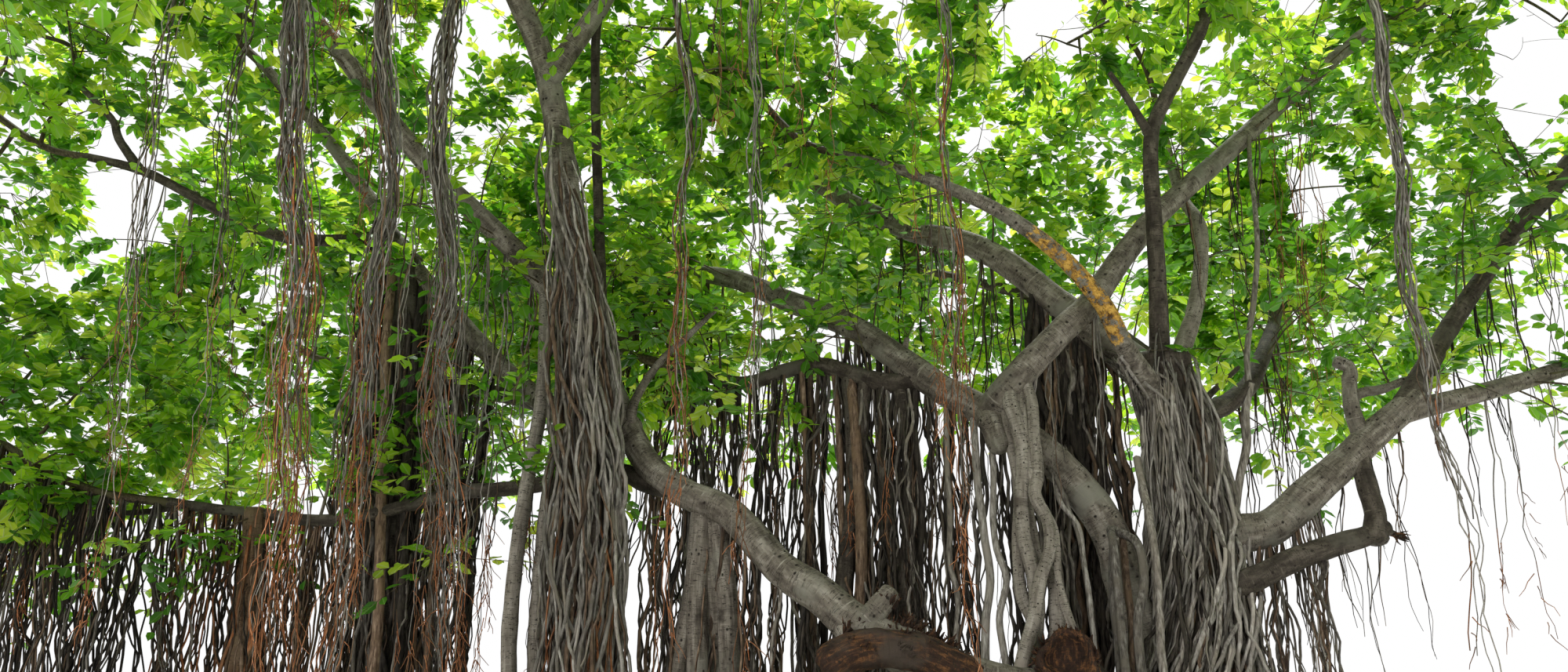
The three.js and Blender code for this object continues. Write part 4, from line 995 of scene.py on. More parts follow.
# Torn wood where limbs broke off: middle, way it points, width, splinters, how long they are, and
# how far out across the width they start
tornEnds = [
    ((-0.79, -0.8, 1.7), (-0.25, -0.8, 0.3), 0.185, 90, (0.02, 0.06), 0.75),
    ((-2.12, -0.9, 1.84), (0.3, -0.5, 0.6), 0.17, 130, (0.02, 0.07), 0.0),
    ((-1.85, -0.88, 1.84), (0.3, -0.5, 0.5), 0.17, 120, (0.02, 0.07), 0.0),
    ((-1.6, -0.82, 1.74), (0.4, -0.5, 0.5), 0.14, 80, (0.01, 0.05), 0.0),
    ((1.87, -0.23, 2.57), (0.9, 0.0, -0.1), 0.016, 7, (0.02, 0.07), 0.0),
    ((-1.98, -0.82, 2.12), (0.4, 0.0, 0.9), 0.07, 40, (0.0, 0.03), 0.0),
]
# The hollow in the broken stub: how far out and how wide each ring is
hollow = [
    (-0.3, 0.19), (-0.12, 0.2), (-0.02, 0.205), (0.03, 0.19), (0.035, 0.165), (0.0, 0.145), (-0.06, 0.12),
    (-0.1, 0.06),
]
splinterTaper = np.array([1.0, 1.1, 0.8, 0.2])


def makeTornWood():
    random = np.random.default_rng(61)
    tubes = []
    for middle, way, width, count, length, inner in tornEnds:
        way = unit(np.array(way))
        side = unit(np.cross(way, up))
        rise = np.cross(side, way)
        for _ in range(count):
            turn, out = anyTurn(random), width * math.sqrt(random.uniform(inner, 1))
            across = side * math.cos(turn) + rise * math.sin(turn)
            root = np.array(middle) + across * out - way * random.uniform(0.03, 0.09)
            aim = unit(way + 0.35 * across * out / width + random.normal(0, 0.3, 3))
            row = root + aim * np.linspace(0, random.uniform(*length) + 0.06, 4)[:, None]
            row = row + random.normal(0, 0.005, (4, 3))
            tubes.append((row, random.uniform(0.006, 0.017) * splinterTaper, 5))
    thing = sweep("torn_wood", tubes)
    roughen(thing, "tornWood", (0.004, 8.0), (0.0, 9.0), (0.004, 2.2))
    settle(thing)


def makeHollow():
    middle, way = np.array(tornEnds[0][0]), unit(np.array(tornEnds[0][1]))
    side = unit(np.cross(way, up))
    rise = np.cross(side, way)
    sides = 28
    angle = np.linspace(0, 2 * math.pi, sides, endpoint=False)
    uneven = 1 + 0.07 * np.cos(3 * angle + 1) + 0.05 * np.cos(5 * angle)
    circle = np.cos(angle)[:, None] * side + np.sin(angle)[:, None] * rise
    rings = [middle + way * out + circle * (uneven * width)[:, None] for out, width in hollow]
    places = np.vstack([*rings, middle + way * hollow[-1][0]])
    last = (len(hollow) - 1) * sides
    faces = wallsOf(len(hollow), sides)
    faces += [(last + k, last + (k + 1) % sides, len(places) - 1) for k in range(sides)]
    thing = meshOf("broken_stub_hollow", places, faces, values={
        "barkSpace": places, "relief": np.ones(len(places))})
    roughen(thing, "tornWood", (0.012, 20.0), (0.004, 9.0), (0.02, 9.0))
    settle(thing)


makeHollow()
makeTornWood()

# Foliage masses: the bough whose tip each grows from, its middle and how far it reaches
masses = {
    "foliage_back_far_left": ("back_left_bough", (-8.9, 3.9, 5.6), (2.5, 2.5, 2.3), 7),
    "foliage_back_left": ("left_main_limb", (-5.3, 4.6, 6.5), (2.6, 2.7, 2.6), 8),
    "foliage_back_middle": ("back_middle_bough", (-0.9, 4.9, 6.9), (2.7, 2.5, 2.8), 8),
    "foliage_back_right": ("back_right_bough", (3.4, 4.4, 6.5), (2.6, 2.6, 2.8), 8),
    "foliage_far_left": ("far_left_bough", (-10.0, 0.2, 6.6), (1.9, 2.5, 2.1), 7),
    "foliage_low_left": ("third_limb", (-9.2, 0.3, 3.5), (2.0, 2.1, 1.3), 5),
    "foliage_upper_left": ("second_limb", (-7.8, 0.9, 8.3), (2.4, 2.4, 2.0), 7),
    "foliage_high_middle": ("rear_limb", (-4.0, 0.9, 8.3), (2.5, 2.3, 2.15), 7),
    "foliage_high_centre": ("pale_stem", (-0.2, 0.5, 8.3), (2.5, 2.3, 2.15), 7),
    "foliage_high_right": ("crossing_limb", (4.1, 0.9, 8.5), (2.5, 2.3, 2.05), 6),
    "foliage_right": ("right_high_bough", (6.0, 0.6, 6.5), (2.0, 2.2, 2.2), 7),
    "foliage_low_right": ("right_low_bough", (5.9, -0.6, 4.2), (1.8, 1.9, 1.25), 5),
    "foliage_front_far_left": ("great_limb", (-8.3, -2.6, 7.6), (2.3, 2.3, 2.1), 6),
    "foliage_front_left": ("pillar_bough", (-5.5, -4.5, 7.7), (2.5, 2.3, 2.0), 7),
    "foliage_front_middle": ("pillar_fork", (-1.3, -4.2, 7.9), (2.6, 2.3, 2.0), 7),
    "foliage_front_right": ("upright_stem", (2.7, -3.9, 7.9), (2.5, 2.3, 2.0), 7),
    "foliage_right_front": ("front_right_bough", (5.7, -2.9, 6.9), (2.1, 2.2, 2.1), 6),
    "foliage_inner_left": ("side_limb", (-4.4, 1.9, 4.7), (1.5, 1.3, 1.1), 4),
    "foliage_inner_centre": ("golden_limb", (-2.9, -0.1, 6.2), (1.45, 1.1, 1.05), 4),
}
middles = np.array([mass[1] for mass in masses.values()])
reaches = np.array([mass[2] for mass in masses.values()])
massNames = list(masses)


# A mass's stem goes on from its bough's tip to the middle of its space
def layStem(order):
    line, radii = lines[masses[massNames[order]][0]]
    heading, middle = unit(line[-1] - line[-3]), middles[order]
    lead = np.linalg.norm(middle - line[-1]) * 0.3
    stem = lineThrough([line[-1] - heading * 0.04, line[-1] + heading * lead, middle], 0.12)
    lines[massNames[order] + "_stem"] = (stem, np.linspace(radii[-1] * 0.97, 0.026, len(stem)))


for order in range(len(masses)):
    layStem(order)

# The big bundles that hang free in front: places, strands, spread, girth, share from which tips turn orange
bundles = {
    "hanging_roots_1": ((-5.85, -2.03, 7.72), (-5.64, -2.0, 0.75), 38, 0.2, (0.0055, 0.012), (0.48, 1.1)),
    "hanging_roots_2": ((-5.56, -1.64, 7.52), (-5.38, -1.6, 0.85), 30, 0.17, (0.0055, 0.012), (0.6, 1.2)),
    "hanging_roots_3": ((-5.19, -1.16, 7.3), (-4.9, -1.18, 0.8), 34, 0.18, (0.0055, 0.013), (0.7, 1.3)),
    "hanging_roots_4": ((-3.54, -1.35, 7.48), (-3.46, -1.4, 1.15), 9, 0.09, (0.005, 0.01), (0.5, 1.0)),
    "hanging_roots_5": ((-2.99, -1.44, 7.63), (-2.88, -1.5, 0.95), 8, 0.08, (0.005, 0.01), (0.55, 1.0)),
    "hanging_roots_6": ((-1.7, -1.61, 7.87), (-1.49, -1.5, 1.05), 9, 0.07, (0.005, 0.01), (0.4, 0.9)),
    "hanging_roots_7": ((1.42, -1.59, 7.96), (1.66, -1.6, 0.9), 13, 0.1, (0.008, 0.015), (0.9, 1.2)),
}
bundleSkins = ("grey", "palest", "brown", "palest", "palest")
for name, (top, foot, strands, spread, girth, tips) in bundles.items():
    rope(top, foot, strands, spread, girth, bundleSkins, rng, swing=0.06, tips=tips, fan=0.35)

# Curtains: limb, from x, to x, ropes, strands in each, foot heights, girth, spread, skins, orange tips
# Dark skins are partly painted shade, for the curtains that hang in the crown's shade
darkSkins = ("dark", "dark", "grey", "brown")
mixedSkins = ("grey", "brown", "palest")
brownSkins = ("brown", "dark")
curtains = [
    ("great_limb", -5.7, -4.7, 7, 4, (0.9, 2.6), (0.005, 0.01), 0.06, mixedSkins, (0.7, 0.95)),
    ("second_limb", -6.4, -5.35, 18, 7, (0, 0), (0.007, 0.018), 0.08, darkSkins, None),
    ("second_limb", -6.4, -5.4, 7, 4, (0, 0), (0.006, 0.012), 0.08, ("grey", "palest"), None),
    ("second_limb", -5.24, -5.14, 2, 6, (0, 0), (0.009, 0.016), 0.05, ("dark",), None),
    ("third_limb", -7.5, -6.35, 17, 7, (0, 0), (0.006, 0.013), 0.1, ("brown", "brown", "orange", "brown",
        "dark"), None),
    ("foliage_low_left_stem", -9.6, -7.5, 30, 7, (0, 0), (0.006, 0.013), 0.13, ("dark", "brown", "dark",
        "grey"), None),
    ("foliage_low_left_stem", -8.9, -7.8, 3, 6, (1.7, 2.1), (0.004, 0.009), 0.06, ("brown", "grey"),
        (0.7, 0.9)),
    ("third_limb", -6.1, -4.2, 9, 3, (0.4, 1.6), (0.005, 0.01), 0.05, darkSkins, (0.6, 0.9)),
    ("side_limb", -3.6, -1.65, 22, 5, (0, 0), (0.006, 0.016), 0.08, darkSkins, None),
    ("side_limb", -3.4, -1.65, 8, 3, (1.6, 2.8), (0.005, 0.01), 0.05, mixedSkins, (0.6, 0.9)),
    ("left_main_limb", -2.2, -1.3, 12, 6, (0, 0), (0.006, 0.016), 0.07, ("dark", "brown", "grey", "dark"),
        None),
    ("left_main_limb", -1.3, -0.5, 9, 4, (0, 0), (0.006, 0.018), 0.07, ("grey", "dark", "grey"), None),
    ("left_main_limb", -3.3, -1.2, 11, 3, (1.9, 3.2), (0.005, 0.01), 0.05, mixedSkins, (0.7, 0.95)),
    ("rear_limb", -0.62, -0.05, 7, 6, (0, 0), (0.014, 0.036), 0.1, ("dark", "brown", "dark", "grey"), None),
    ("rear_limb", -1.9, -0.6, 8, 3, (2.4, 3.9), (0.005, 0.011), 0.05, darkSkins, None),
    ("rear_limb", -0.3, 0.1, 4, 2, (1.0, 2.4), (0.006, 0.012), 0.06, darkSkins, None),
    ("golden_limb", -1.6, -1.3, 3, 4, (2.75, 3.2), (0.004, 0.008), 0.05, ("brown", "grey"), (0.45, 0.7)),
    ("crossing_limb", 0.6, 1.7, 5, 3, (3.4, 4.6), (0.005, 0.01), 0.05, darkSkins, None),
    ("crossing_limb", 1.7, 2.3, 4, 3, (2.9, 4.2), (0.004, 0.008), 0.06, ("brown", "orange"), (0.3, 0.6)),
    ("crossing_limb", -0.9, -0.1, 3, 4, (2.2, 3.2), (0.006, 0.012), 0.05, mixedSkins, None),
    ("right_bough", 0.75, 1.35, 9, 5, (0, 0), (0.005, 0.013), 0.09, ("grey", "grey", "palest", "brown"),
        None),
    ("right_bough", 1.3, 2.1, 5, 3, (1.3, 2.4), (0.004, 0.009), 0.05, darkSkins, None),
    ("elbow_limb", 0.6, 1.75, 10, 2, (0.7, 1.9), (0.004, 0.008), 0.04, darkSkins, None),
    ("right_low_bough", 2.6, 3.7, 4, 2, (1.0, 2.6), (0.004, 0.009), 0.06, mixedSkins, (0.5, 0.8)),
    ("right_low_bough", 4.1, 4.5, 2, 4, (1.8, 2.4), (0.006, 0.011), 0.06, ("brown", "grey"), (0.5, 0.8)),
    ("great_limb", -6.85, -6.7, 1, 7, (2.2, 2.5), (0.005, 0.009), 0.07, mixedSkins, (0.85, 0.95)),
    ("foliage_front_far_left_stem", -7.45, -7.25, 1, 9, (1.3, 1.7), (0.005, 0.009), 0.08, mixedSkins,
        (0.85, 0.95)),
    ("right_high_bough", 2.5, 4.2, 7, 3, (2.6, 4.4), (0.005, 0.01), 0.05, darkSkins, None),
    ("low_limb", -1.9, -0.5, 9, 4, (0, 0), (0.006, 0.014), 0.06, mixedSkins, None),
    ("great_limb", -3.75, -2.5, 9, 5, (0, 0), (0.006, 0.016), 0.09, ("dark", "brown", "grey"), None),
    ("far_left_bough", -8.6, -6.5, 8, 3, (2.0, 4.6), (0.004, 0.009), 0.06, mixedSkins, (0.5, 0.9)),
    ("back_left_bough", -7.3, -5.2, 9, 5, (0, 0), (0.006, 0.014), 0.08, darkSkins, None),
    ("back_middle_bough", -0.6, 0.5, 6, 4, (1.0, 3.4), (0.006, 0.012), 0.06, brownSkins, None),
    ("back_right_bough", 0.8, 2.4, 6, 4, (0.8, 3.2), (0.006, 0.012), 0.06, brownSkins, None),
    ("left_main_limb", -4.4, -3.4, 8, 5, (0, 0), (0.006, 0.014), 0.08, brownSkins, None),
    ("pillar_fork", -3.3, -1.8, 6, 2, (3.4, 5.2), (0.004, 0.008), 0.05, mixedSkins, (0.6, 0.9)),
    ("pillar_bough", -5.9, -5.3, 4, 3, (3.6, 5.6), (0.004, 0.008), 0.06, mixedSkins, (0.5, 0.9)),
]
for limb, start, end, ropes, strands, feet, girth, spread, skins, tips in curtains:
    grounded = feet[1] == 0
    for k in range(ropes):
        x = start + (end - start) * (k + rng.uniform(0.15, 0.85)) / ropes
        place, radius = limbAt(limb, x)
        top = place + np.array([0, rng.uniform(-0.5, 0.5) * radius, -0.4 * radius])
        foot = np.array([top[0] + rng.normal(0, 0.07), top[1] + rng.normal(0, 0.14), rng.uniform(*feet)])
        rope(top, foot, strands, spread, girth, skins, rng, swing=0.045, tips=tips, grounded=grounded)

# Single roots with a way of their own: skin, radius at the top and at the foot, and its places
singleRoots = [
    ("palest", 0.031, 0.037, [(-1.21, 0.1, 3.64), (-1.22, -0.02, 3.34), (-1.22, -0.05, 2.97),
        (-1.19, -0.09, 2.61), (-1.17, -0.12, 2.26), (-1.22, -0.16, 1.98), (-1.25, -0.2, 1.61),
        (-1.2, -0.25, 0)]),
    ("palest", 0.025, 0.031, [(-1.08, 0.07, 3.55), (-1.09, -0.05, 3.09), (-1.12, -0.08, 2.73),
        (-1.11, -0.12, 2.49), (-1.06, -0.16, 2.26), (-1.13, -0.19, 1.98), (-1.1, -0.23, 1.61),
        (-1.16, -0.3, 0)]),
    ("palest", 0.021, 0.018, [(-0.61, 0.02, 3.17), (-0.62, -0.16, 2.84), (-0.51, -0.2, 2.66),
        (-0.5, -0.26, 2.37), (-0.49, -0.32, 2.09), (-0.5, -0.36, 1.5)]),
    ("grey", 0.018, 0.018, [(-0.72, 0.04, 3.27), (-0.64, -0.12, 3.03), (-0.58, -0.16, 2.84),
        (-0.52, -0.2, 2.6), (-0.51, -0.26, 2.37), (-0.5, -0.3, 2.03), (-0.46, -0.34, 1.3)]),
    ("grey", 0.032, 0.04, [(-0.3, -0.3, 2.62), (-0.33, -0.45, 2.5), (-0.34, -0.5, 2.3),
        (-0.35, -0.55, 2.01), (-0.36, -0.62, 1.61), (-0.4, -0.8, 0.6), (-0.42, -0.95, 0)]),
    ("grey", 0.034, 0.04, [(-0.26, -0.25, 2.62), (-0.15, -0.43, 2.5), (-0.14, -0.48, 2.23),
        (-0.22, -0.55, 1.96), (-0.25, -0.6, 1.61), (-0.24, -0.75, 0.7), (-0.2, -0.95, 0)]),
    ("brown", 0.029, 0.034, [(-0.2, -0.25, 2.6), (-0.24, -0.42, 2.13), (-0.25, -0.49, 1.86),
        (-0.3, -0.55, 1.61), (-0.3, -0.85, 0)]),
    ("grey", 0.029, 0.035, [(0.02, -0.02, 3.2), (-0.01, -0.34, 2.58), (-0.03, -0.42, 2.13),
        (-0.06, -0.5, 1.61), (-0.05, -0.8, 0)]),
    ("grey", 0.029, 0.034, [(-0.26, -0.2, 2.55), (-0.35, -0.4, 2.13), (-0.36, -0.47, 1.81),
        (-0.37, -0.52, 1.61), (-0.5, -0.8, 0)]),
    ("brown", 0.027, 0.033, [(-2.55, 0.64, 4.08), (-2.52, 0.62, 3.47), (-2.51, 0.6, 2.69),
        (-2.48, 0.58, 2.19), (-2.44, 0.56, 1.61), (-2.42, 0.56, 0)]),
    ("brown", 0.027, 0.033, [(-2.48, 0.62, 4.09), (-2.47, 0.64, 3.47), (-2.5, 0.69, 2.57),
        (-2.49, 0.74, 1.61), (-2.5, 0.76, 0)]),
    ("brown", 0.03, 0.04, [(-2.28, 0.57, 4.04), (-2.25, 0.52, 3.58), (-2.24, 0.51, 2.93),
        (-2.21, 0.49, 2.43), (-2.19, 0.47, 2.01), (-2.16, 0.45, 0)]),
    ("brown", 0.046, 0.054, [(-2.15, 0.52, 4.0), (-2.12, 0.42, 3.56), (-2.1, 0.4, 3.04),
        (-2.09, 0.38, 2.54), (-2.11, 0.37, 1.97), (-2.12, 0.36, 0)]),
    ("dark", 0.039, 0.051, [(-1.71, 0.33, 4.03), (-1.7, 0.33, 3.54), (-1.73, 0.34, 3.03),
        (-1.68, 0.35, 2.54), (-1.73, 0.36, 2.06), (-1.71, 0.38, 1.61), (-1.72, 0.4, 0)]),
    ("dark", 0.026, 0.038, [(-1.62, 0.28, 3.95), (-1.65, 0.26, 3.4), (-1.61, 0.27, 2.9),
        (-1.65, 0.28, 2.41), (-1.65, 0.28, 1.61), (-1.62, 0.28, 0)]),
    ("grey", 0.025, 0.027, [(-1.4, 0.18, 3.77), (-1.42, 0.13, 3.12), (-1.42, 0.12, 2.76),
        (-1.43, 0.11, 2.4), (-1.38, 0.1, 2.16), (-1.42, 0.09, 1.76), (-1.44, 0.08, 1.61), (-1.4, 0.1, 0)]),
    ("dark", 0.026, 0.04, [(-2.37, 0.61, 4.07), (-2.36, 0.71, 3.49), (-2.4, 0.71, 2.9), (-2.37, 0.71, 2.2),
        (-2.39, 0.71, 1.61), (-2.37, 0.7, 0)]),
    ("brown", 0.04, 0.05, [(-6.15, 0.83, 5.3), (-6.08, 0.62, 4.4), (-6.0, 0.53, 3.58), (-5.95, 0.49, 2.93),
        (-5.89, 0.46, 2.31), (-5.84, 0.43, 0)]),
    ("dark", 0.034, 0.047, [(-6.3, 0.84, 5.5), (-6.22, 0.75, 4.4), (-6.15, 0.7, 3.48), (-6.11, 0.73, 2.71),
        (-6.05, 0.76, 0)]),
    ("dark", 0.033, 0.047, [(-5.87, 0.8, 4.94), (-5.83, 0.65, 4.2), (-5.8, 0.55, 3.45),
        (-5.75, 0.52, 2.68), (-5.65, 0.5, 0)]),
    ("brown", 0.027, 0.04, [(-5.6, 0.74, 4.67), (-5.6, 0.6, 4.0), (-5.6, 0.57, 3.2), (-5.5, 0.52, 2.43),
        (-5.46, 0.47, 0)]),
    ("grey", 0.037, 0.031, [(0.97, 0.0, 3.79), (0.9, 0.0, 3.53), (0.89, 0.0, 3.29), (0.81, 0.0, 3.04),
        (0.7, 0.0, 2.62)]),
    ("grey", 0.02, 0.026, [(1.45, 0.6, 6.24), (1.3, 0.3, 5.7), (1.19, 0.05, 5.06), (1.09, 0.03, 4.51),
        (0.99, 0.02, 4.11), (0.96, 0.0, 3.77)]),
    ("dark", 0.023, 0.017, [(1.24, -0.25, 2.46), (1.24, -0.29, 2.35), (1.2, -0.31, 2.25),
        (1.15, -0.32, 2.11)]),
]
for order, (skin, upper, lower, path) in enumerate(singleRoots):
    line = lineThrough(path, 0.06)
    share = np.linspace(0, 1, len(line))
    hanging[skin].lay(line, upper + (lower - upper) * share, 0.12 * np.minimum(1, share * 6), 9.7 * order)


# Strands that run down a column's skin to the ground
def clothe(columnAt, count, turns, tops, girth, skins, drift, stand, random=rng):
    for k in range(count):
        top = random.uniform(*tops)
        heights = np.arange(top, 0.0, -strandValues["step"])
        run = top - heights
        turn = random.uniform(*turns) + drift * (
            np.sin(run * random.uniform(0.7, 1.5) + anyTurn(random)) * 0.5
            + np.sin(run * random.uniform(1.8, 3.2) + anyTurn(random)) * 0.2)
        width = random.uniform(*girth)
        lift = stand * (1 + np.sin(run * random.uniform(1.5, 3.0) + anyTurn(random)))
        free = np.minimum(1, run / 0.4)  # its top is still in the wood
        line = columnAt(heights, turn, (width * 0.7 + lift) * free - 2.4 * width * (1 - free))
        line[:, 2] = np.maximum(line[:, 2], width * 0.5)
        skin = skins[int(random.integers(len(skins)))]
        hanging[skin].lay(line, width * (1 + 0.2 * run / top), np.minimum(0.7, run), seedOf(random))


def columnOf(name):
    line, radii = lines[name]
    order = np.argsort(line[:, 2])

    def at(heights, turn, stand):
        place = [np.interp(heights, line[order, 2], line[order, k]) for k in (0, 1)]
        radius = np.interp(heights, line[order, 2], radii[order]) * 0.96 + stand
        return np.stack([place[0] + radius * np.cos(turn), place[1] + radius * np.sin(turn), heights],
                        axis=-1)
    return at


# The left pillar and the bough on it are one column
lines["left_column"] = tuple(
    np.concatenate(both) for both in zip(lines["root_pillar"], lines["pillar_bough"]))
paleSkins = ("grey", "palest", "grey", "palest", "brown")
# Column, strands, how far round, heights of their tops, girth, skins, drift, how far they stand off
clothes = [
    # The dark strands that lie close on the trunk, under the paler ones that stand off, are painted shade for
    # the gaps between them
    ("trunk", 60, (-3.7, 0.5), (2.9, 4.05), (0.01, 0.024), ("dark", "dark", "brown"), 0.6, 0.014),
    ("trunk", 112, (-3.7, 0.5), (2.7, 4.05), (0.006, 0.017), ("palest", "grey", "palest"), 0.9, 0.062),
    ("trunk", 60, (0.5, 2.6), (2.4, 4.0), (0.008, 0.022), ("grey", "dark", "brown"), 0.6, 0.012),
    ("left_column", 116, (0, 6.28), (3.0, 6.0), (0.007, 0.017), paleSkins, 1.1, 0.05),
    ("root_pillar", 24, (3.6, 5.8), (1.6, 2.9), (0.005, 0.01), ("orange", "orange", "brown"), 0.9, 0.06),
    ("dark_root_pillar", 46, (0, 6.28), (3.4, 5.0), (0.008, 0.024), ("dark", "grey", "dark"), 0.8, 0.012),
    ("brown_root_pillar", 34, (0, 6.28), (2.0, 2.8), (0.006, 0.018), ("brown", "orange", "dark"), 0.8, 0.012),
    ("rear_root_pillar", 30, (0, 6.28), (2.8, 4.4), (0.01, 0.03), ("dark", "grey", "brown"), 0.8, 0.012),
]
for column, *values in clothes:
    clothe(trunkAt if column == "trunk" else columnOf(column), *values)

# Strands that come down off the limbs' collars over the top of the trunk: limb, from and to share, how many
collars = [
    ("rear_limb", 0.0, 0.1, 26),
    ("golden_limb", 0.0, 0.15, 20),
    ("upright_stem", 0.0, 0.06, 14),
    ("pale_stem", 0.0, 0.1, 10),
    ("right_bough", 0.03, 0.14, 8),
]


def layCollar(name, start, end, count):
    line, radii = lines[name]
    for k in range(count):
        spot = int(rng.uniform(start, end) * (len(line) - 1))
        place, radius, width = line[spot], radii[spot], rng.uniform(0.007, 0.015)
        high = min(place[2] - 0.15, 3.95)
        level = (place[0] - np.interp(high, trunkLine[:, 2], trunkLine[:, 0])) / 0.25 + rng.normal(0, 0.45)
        facing = -math.acos(min(0.98, max(-0.98, level)))
        across = np.array([math.cos(facing), math.sin(facing), 0.0])
        path = [place + across * radius * 0.5, place + across * (radius + width) - up * 0.05]
        for height in (high - 0.1, high - 0.6, high - 1.2, high * 0.3, 0.02):
            turn = facing - high / trunk["height"] + rng.normal(0, 0.12)
            path.append(trunkAt(height, turn, rng.uniform(0.01, 0.08)))
        row = lineThrough(path, strandValues["step"])
        free = 0.45 * np.minimum(1, np.linspace(0, 6, len(row)))
        hanging[paleSkins[int(rng.integers(4))]].lay(row, width, free, seedOf(rng))


for collar in collars:
    layCollar(*collar)

# Strands that leave the trunk and stand beside it: how many, how far round, heights of their tops,
# where their feet stand in x and in y, skins
skirts = [
    (34, (-1.6, 0.5), (2.7, 3.9), (0.45, 1.15), (-0.7, 0.1), ("grey", "palest", "grey", "brown")),
    (16, (-2.9, -1.9), (2.2, 3.2), (-0.55, 0.1), (-1.05, -0.7), ("brown", "grey", "dark")),
    (14, (0.6, 2.4), (2.4, 3.8), (-0.3, 0.9), (0.7, 1.2), ("grey", "dark")),
]
for count, turns, tops, across, deep, skins in skirts:
    for k in range(count):
        top = trunkAt(rng.uniform(*tops), rng.uniform(*turns), -0.02)
        foot = (rng.uniform(*across), rng.uniform(*deep), 0)
        rope(top, foot, 1, 0.03, (0.008, 0.018), skins, rng, swing=0.08, grounded=True)


def makeRootTubes():
    values = {"Wander": strandValues["wander"], "Wander Scale": strandValues["wanderScale"],
              "Kink": strandValues["kink"], "Kink Scale": strandValues["kinkScale"]}
    for skin, kept in hanging.items():
        pale = skin in ("palest", "grey")
        for size in ("fine", "stout"):
            fine = size == "fine"
            rows = [row for row in kept.rows if (row[1].mean() < strandValues["stoutFrom"]) == fine]
            if rows:
                makeTubes(f"{size}_roots_{skin}", rows, strandValues[size + "Sides"],
                          {**values, "Material": rootSkins[skin]}, list(bundles) if fine and pale else ())


makeRootTubes()
print("roots made")

crown = {
    "spraysPerCubicMetre": 17.8, "branchletsPerCubicMetre": 1.7, "betweenShare": 0.6,
    "leavesInSpray": 10, "leavesInPiece": 43000, "leafLength": (0.1, 0.152), "leafWidth": (0.9, 1.15),
    "outline": (0.87, 0.2), "lobes": ((5.3, 2.1, 3.4), (-3.1, 5.9, 2.6), (2.4, -4.2, 6.3)),
    "clearance": 0.05, "pastSource": (0.34, 0.2, -0.03),
}
# How dense some masses are and how large their leaves, against the others
fullness = {
    "foliage_inner_left": (2.4, 1.0), "foliage_inner_centre": (2.4, 1.0), "foliage_low_left": (2.0, 1.0),
    "foliage_low_right": (1.5, 1.0), "foliage_right": (1.2, 1.0), "foliage_back_left": (1.2, 1.15),
    "foliage_back_far_left": (1.2, 1.12), "foliage_back_middle": (1.1, 1.15),
    "foliage_back_right": (1.2, 1.15), "foliage_front_left": (0.7, 1.25),
    "foliage_front_middle": (0.7, 1.25), "foliage_front_right": (0.7, 1.25),
    "foliage_right_front": (0.8, 1.2), "foliage_front_far_left": (0.75, 1.2),
}
photoSize = (2000, 857)
# Where the photo's sky shows through: middle and half size in its pixels
skyGaps = [
    (1325, 35, 70, 48), (1955, 90, 62, 105), (1670, 250, 34, 48), (150, 225, 42, 95), (28, 268, 40, 26),
    (560, 60, 22, 30), (1085, 60, 26, 22), (905, 190, 20, 30), (1250, 175, 22, 26), (330, 70, 20, 26),
]
twigTubes, fineTwigs = Strands(), Strands()
leafRows = {look: {"place": [], "along": [], "face": [], "size": []} for look in leafLooks}
limbDots = np.vstack([line[::3] for line, _ in lines.values()])
limbWidths = np.concatenate([radii[::3] for _, radii in lines.values()])


# How far out places lie from a mass's middle, and from the nearest other one's
def depthsOf(order, places):
    depths = np.linalg.norm((places[:, None, :] - middles) / reaches, axis=-1)
    own = depths[:, order].copy()
    depths[:, order] = 9
    return own, depths.min(axis=1)


# The crown keeps to the reach of the source's solids
def withinReach(places):
    past = np.array(crown["pastSource"])
    low, high = np.array(cadBox[0]) - past, np.array(cadBox[1]) + past
    return ((places > low) & (places < high)).all(axis=1)


def clearOfLimbs(places):
    gaps = np.linalg.norm(places[:, None, :] - limbDots, axis=-1) - limbWidths
    return gaps.min(axis=1) > crown["clearance"]


def openSky(places):
    tilt = math.radians(cameraValues["tilt"] - 90)
    offset = places - np.array(cameraValues["place"])
    ahead = offset[:, 1] * math.cos(tilt) + offset[:, 2] * math.sin(tilt)
    rise = offset[:, 2] * math.cos(tilt) - offset[:, 1] * math.sin(tilt)
    perMetre = photoSize[0] * cameraValues["lens"] / cameraValues["sensor"] / np.maximum(ahead, 0.1)
    across = photoSize[0] / 2 + offset[:, 0] * perMetre
    down = photoSize[1] / 2 - rise * perMetre
    clear = np.ones(len(places), bool)
    for x, y, width, height in skyGaps:
        clear &= ((across - x) / width) ** 2 + ((down - y) / height) ** 2 > 1
    return clear | (ahead < 0.5)


# Evenly spread aims in a mass's space: a golden-angle spiral at evenly spread depths
def aimsIn(order, count, depths, random):
    k = np.arange(count) + 0.5
    rise = 1 - 2 * k / count
    turn = k * goldenAngle + random.uniform(0, 0.5, count)
    low, high = depths
    evenly = np.mod(k * goldenShare + random.uniform(0, 0.3, count), 1)
    depth = (low ** 3 + (high ** 3 - low ** 3) * evenly) ** (1 / 3)
    flat = np.sqrt(1 - rise * rise)
    ways = np.stack([flat * np.cos(turn), flat * np.sin(turn), rise], axis=-1)
    lobes = sum(np.sin(ways @ np.array(lobe) + 1.7 * order + k) for k, lobe in enumerate(crown["lobes"])) / 3
    outward = depth * (crown["outline"][0] + crown["outline"][1] * lobes)
    aims = middles[order] + reaches[order] * ways * outward[:, None]
    own, other = depthsOf(order, aims)
    aims = aims[(own <= 1.1) & (other > own)]
    return aims[np.argsort(np.linalg.norm(aims - middles[order], axis=1))]


# Sprays that close the notches between neighbouring masses
def aimsBetween(order, count, random):
    ways = unit(random.normal(0, 1, (count, 3)))
    aims = middles[order] + reaches[order] * ways * random.uniform(0.95, 1.5, count)[:, None]
    own, other = depthsOf(order, aims)
    return aims[(other > own) & (other + own < random.uniform(2.3, 3.1, count))]


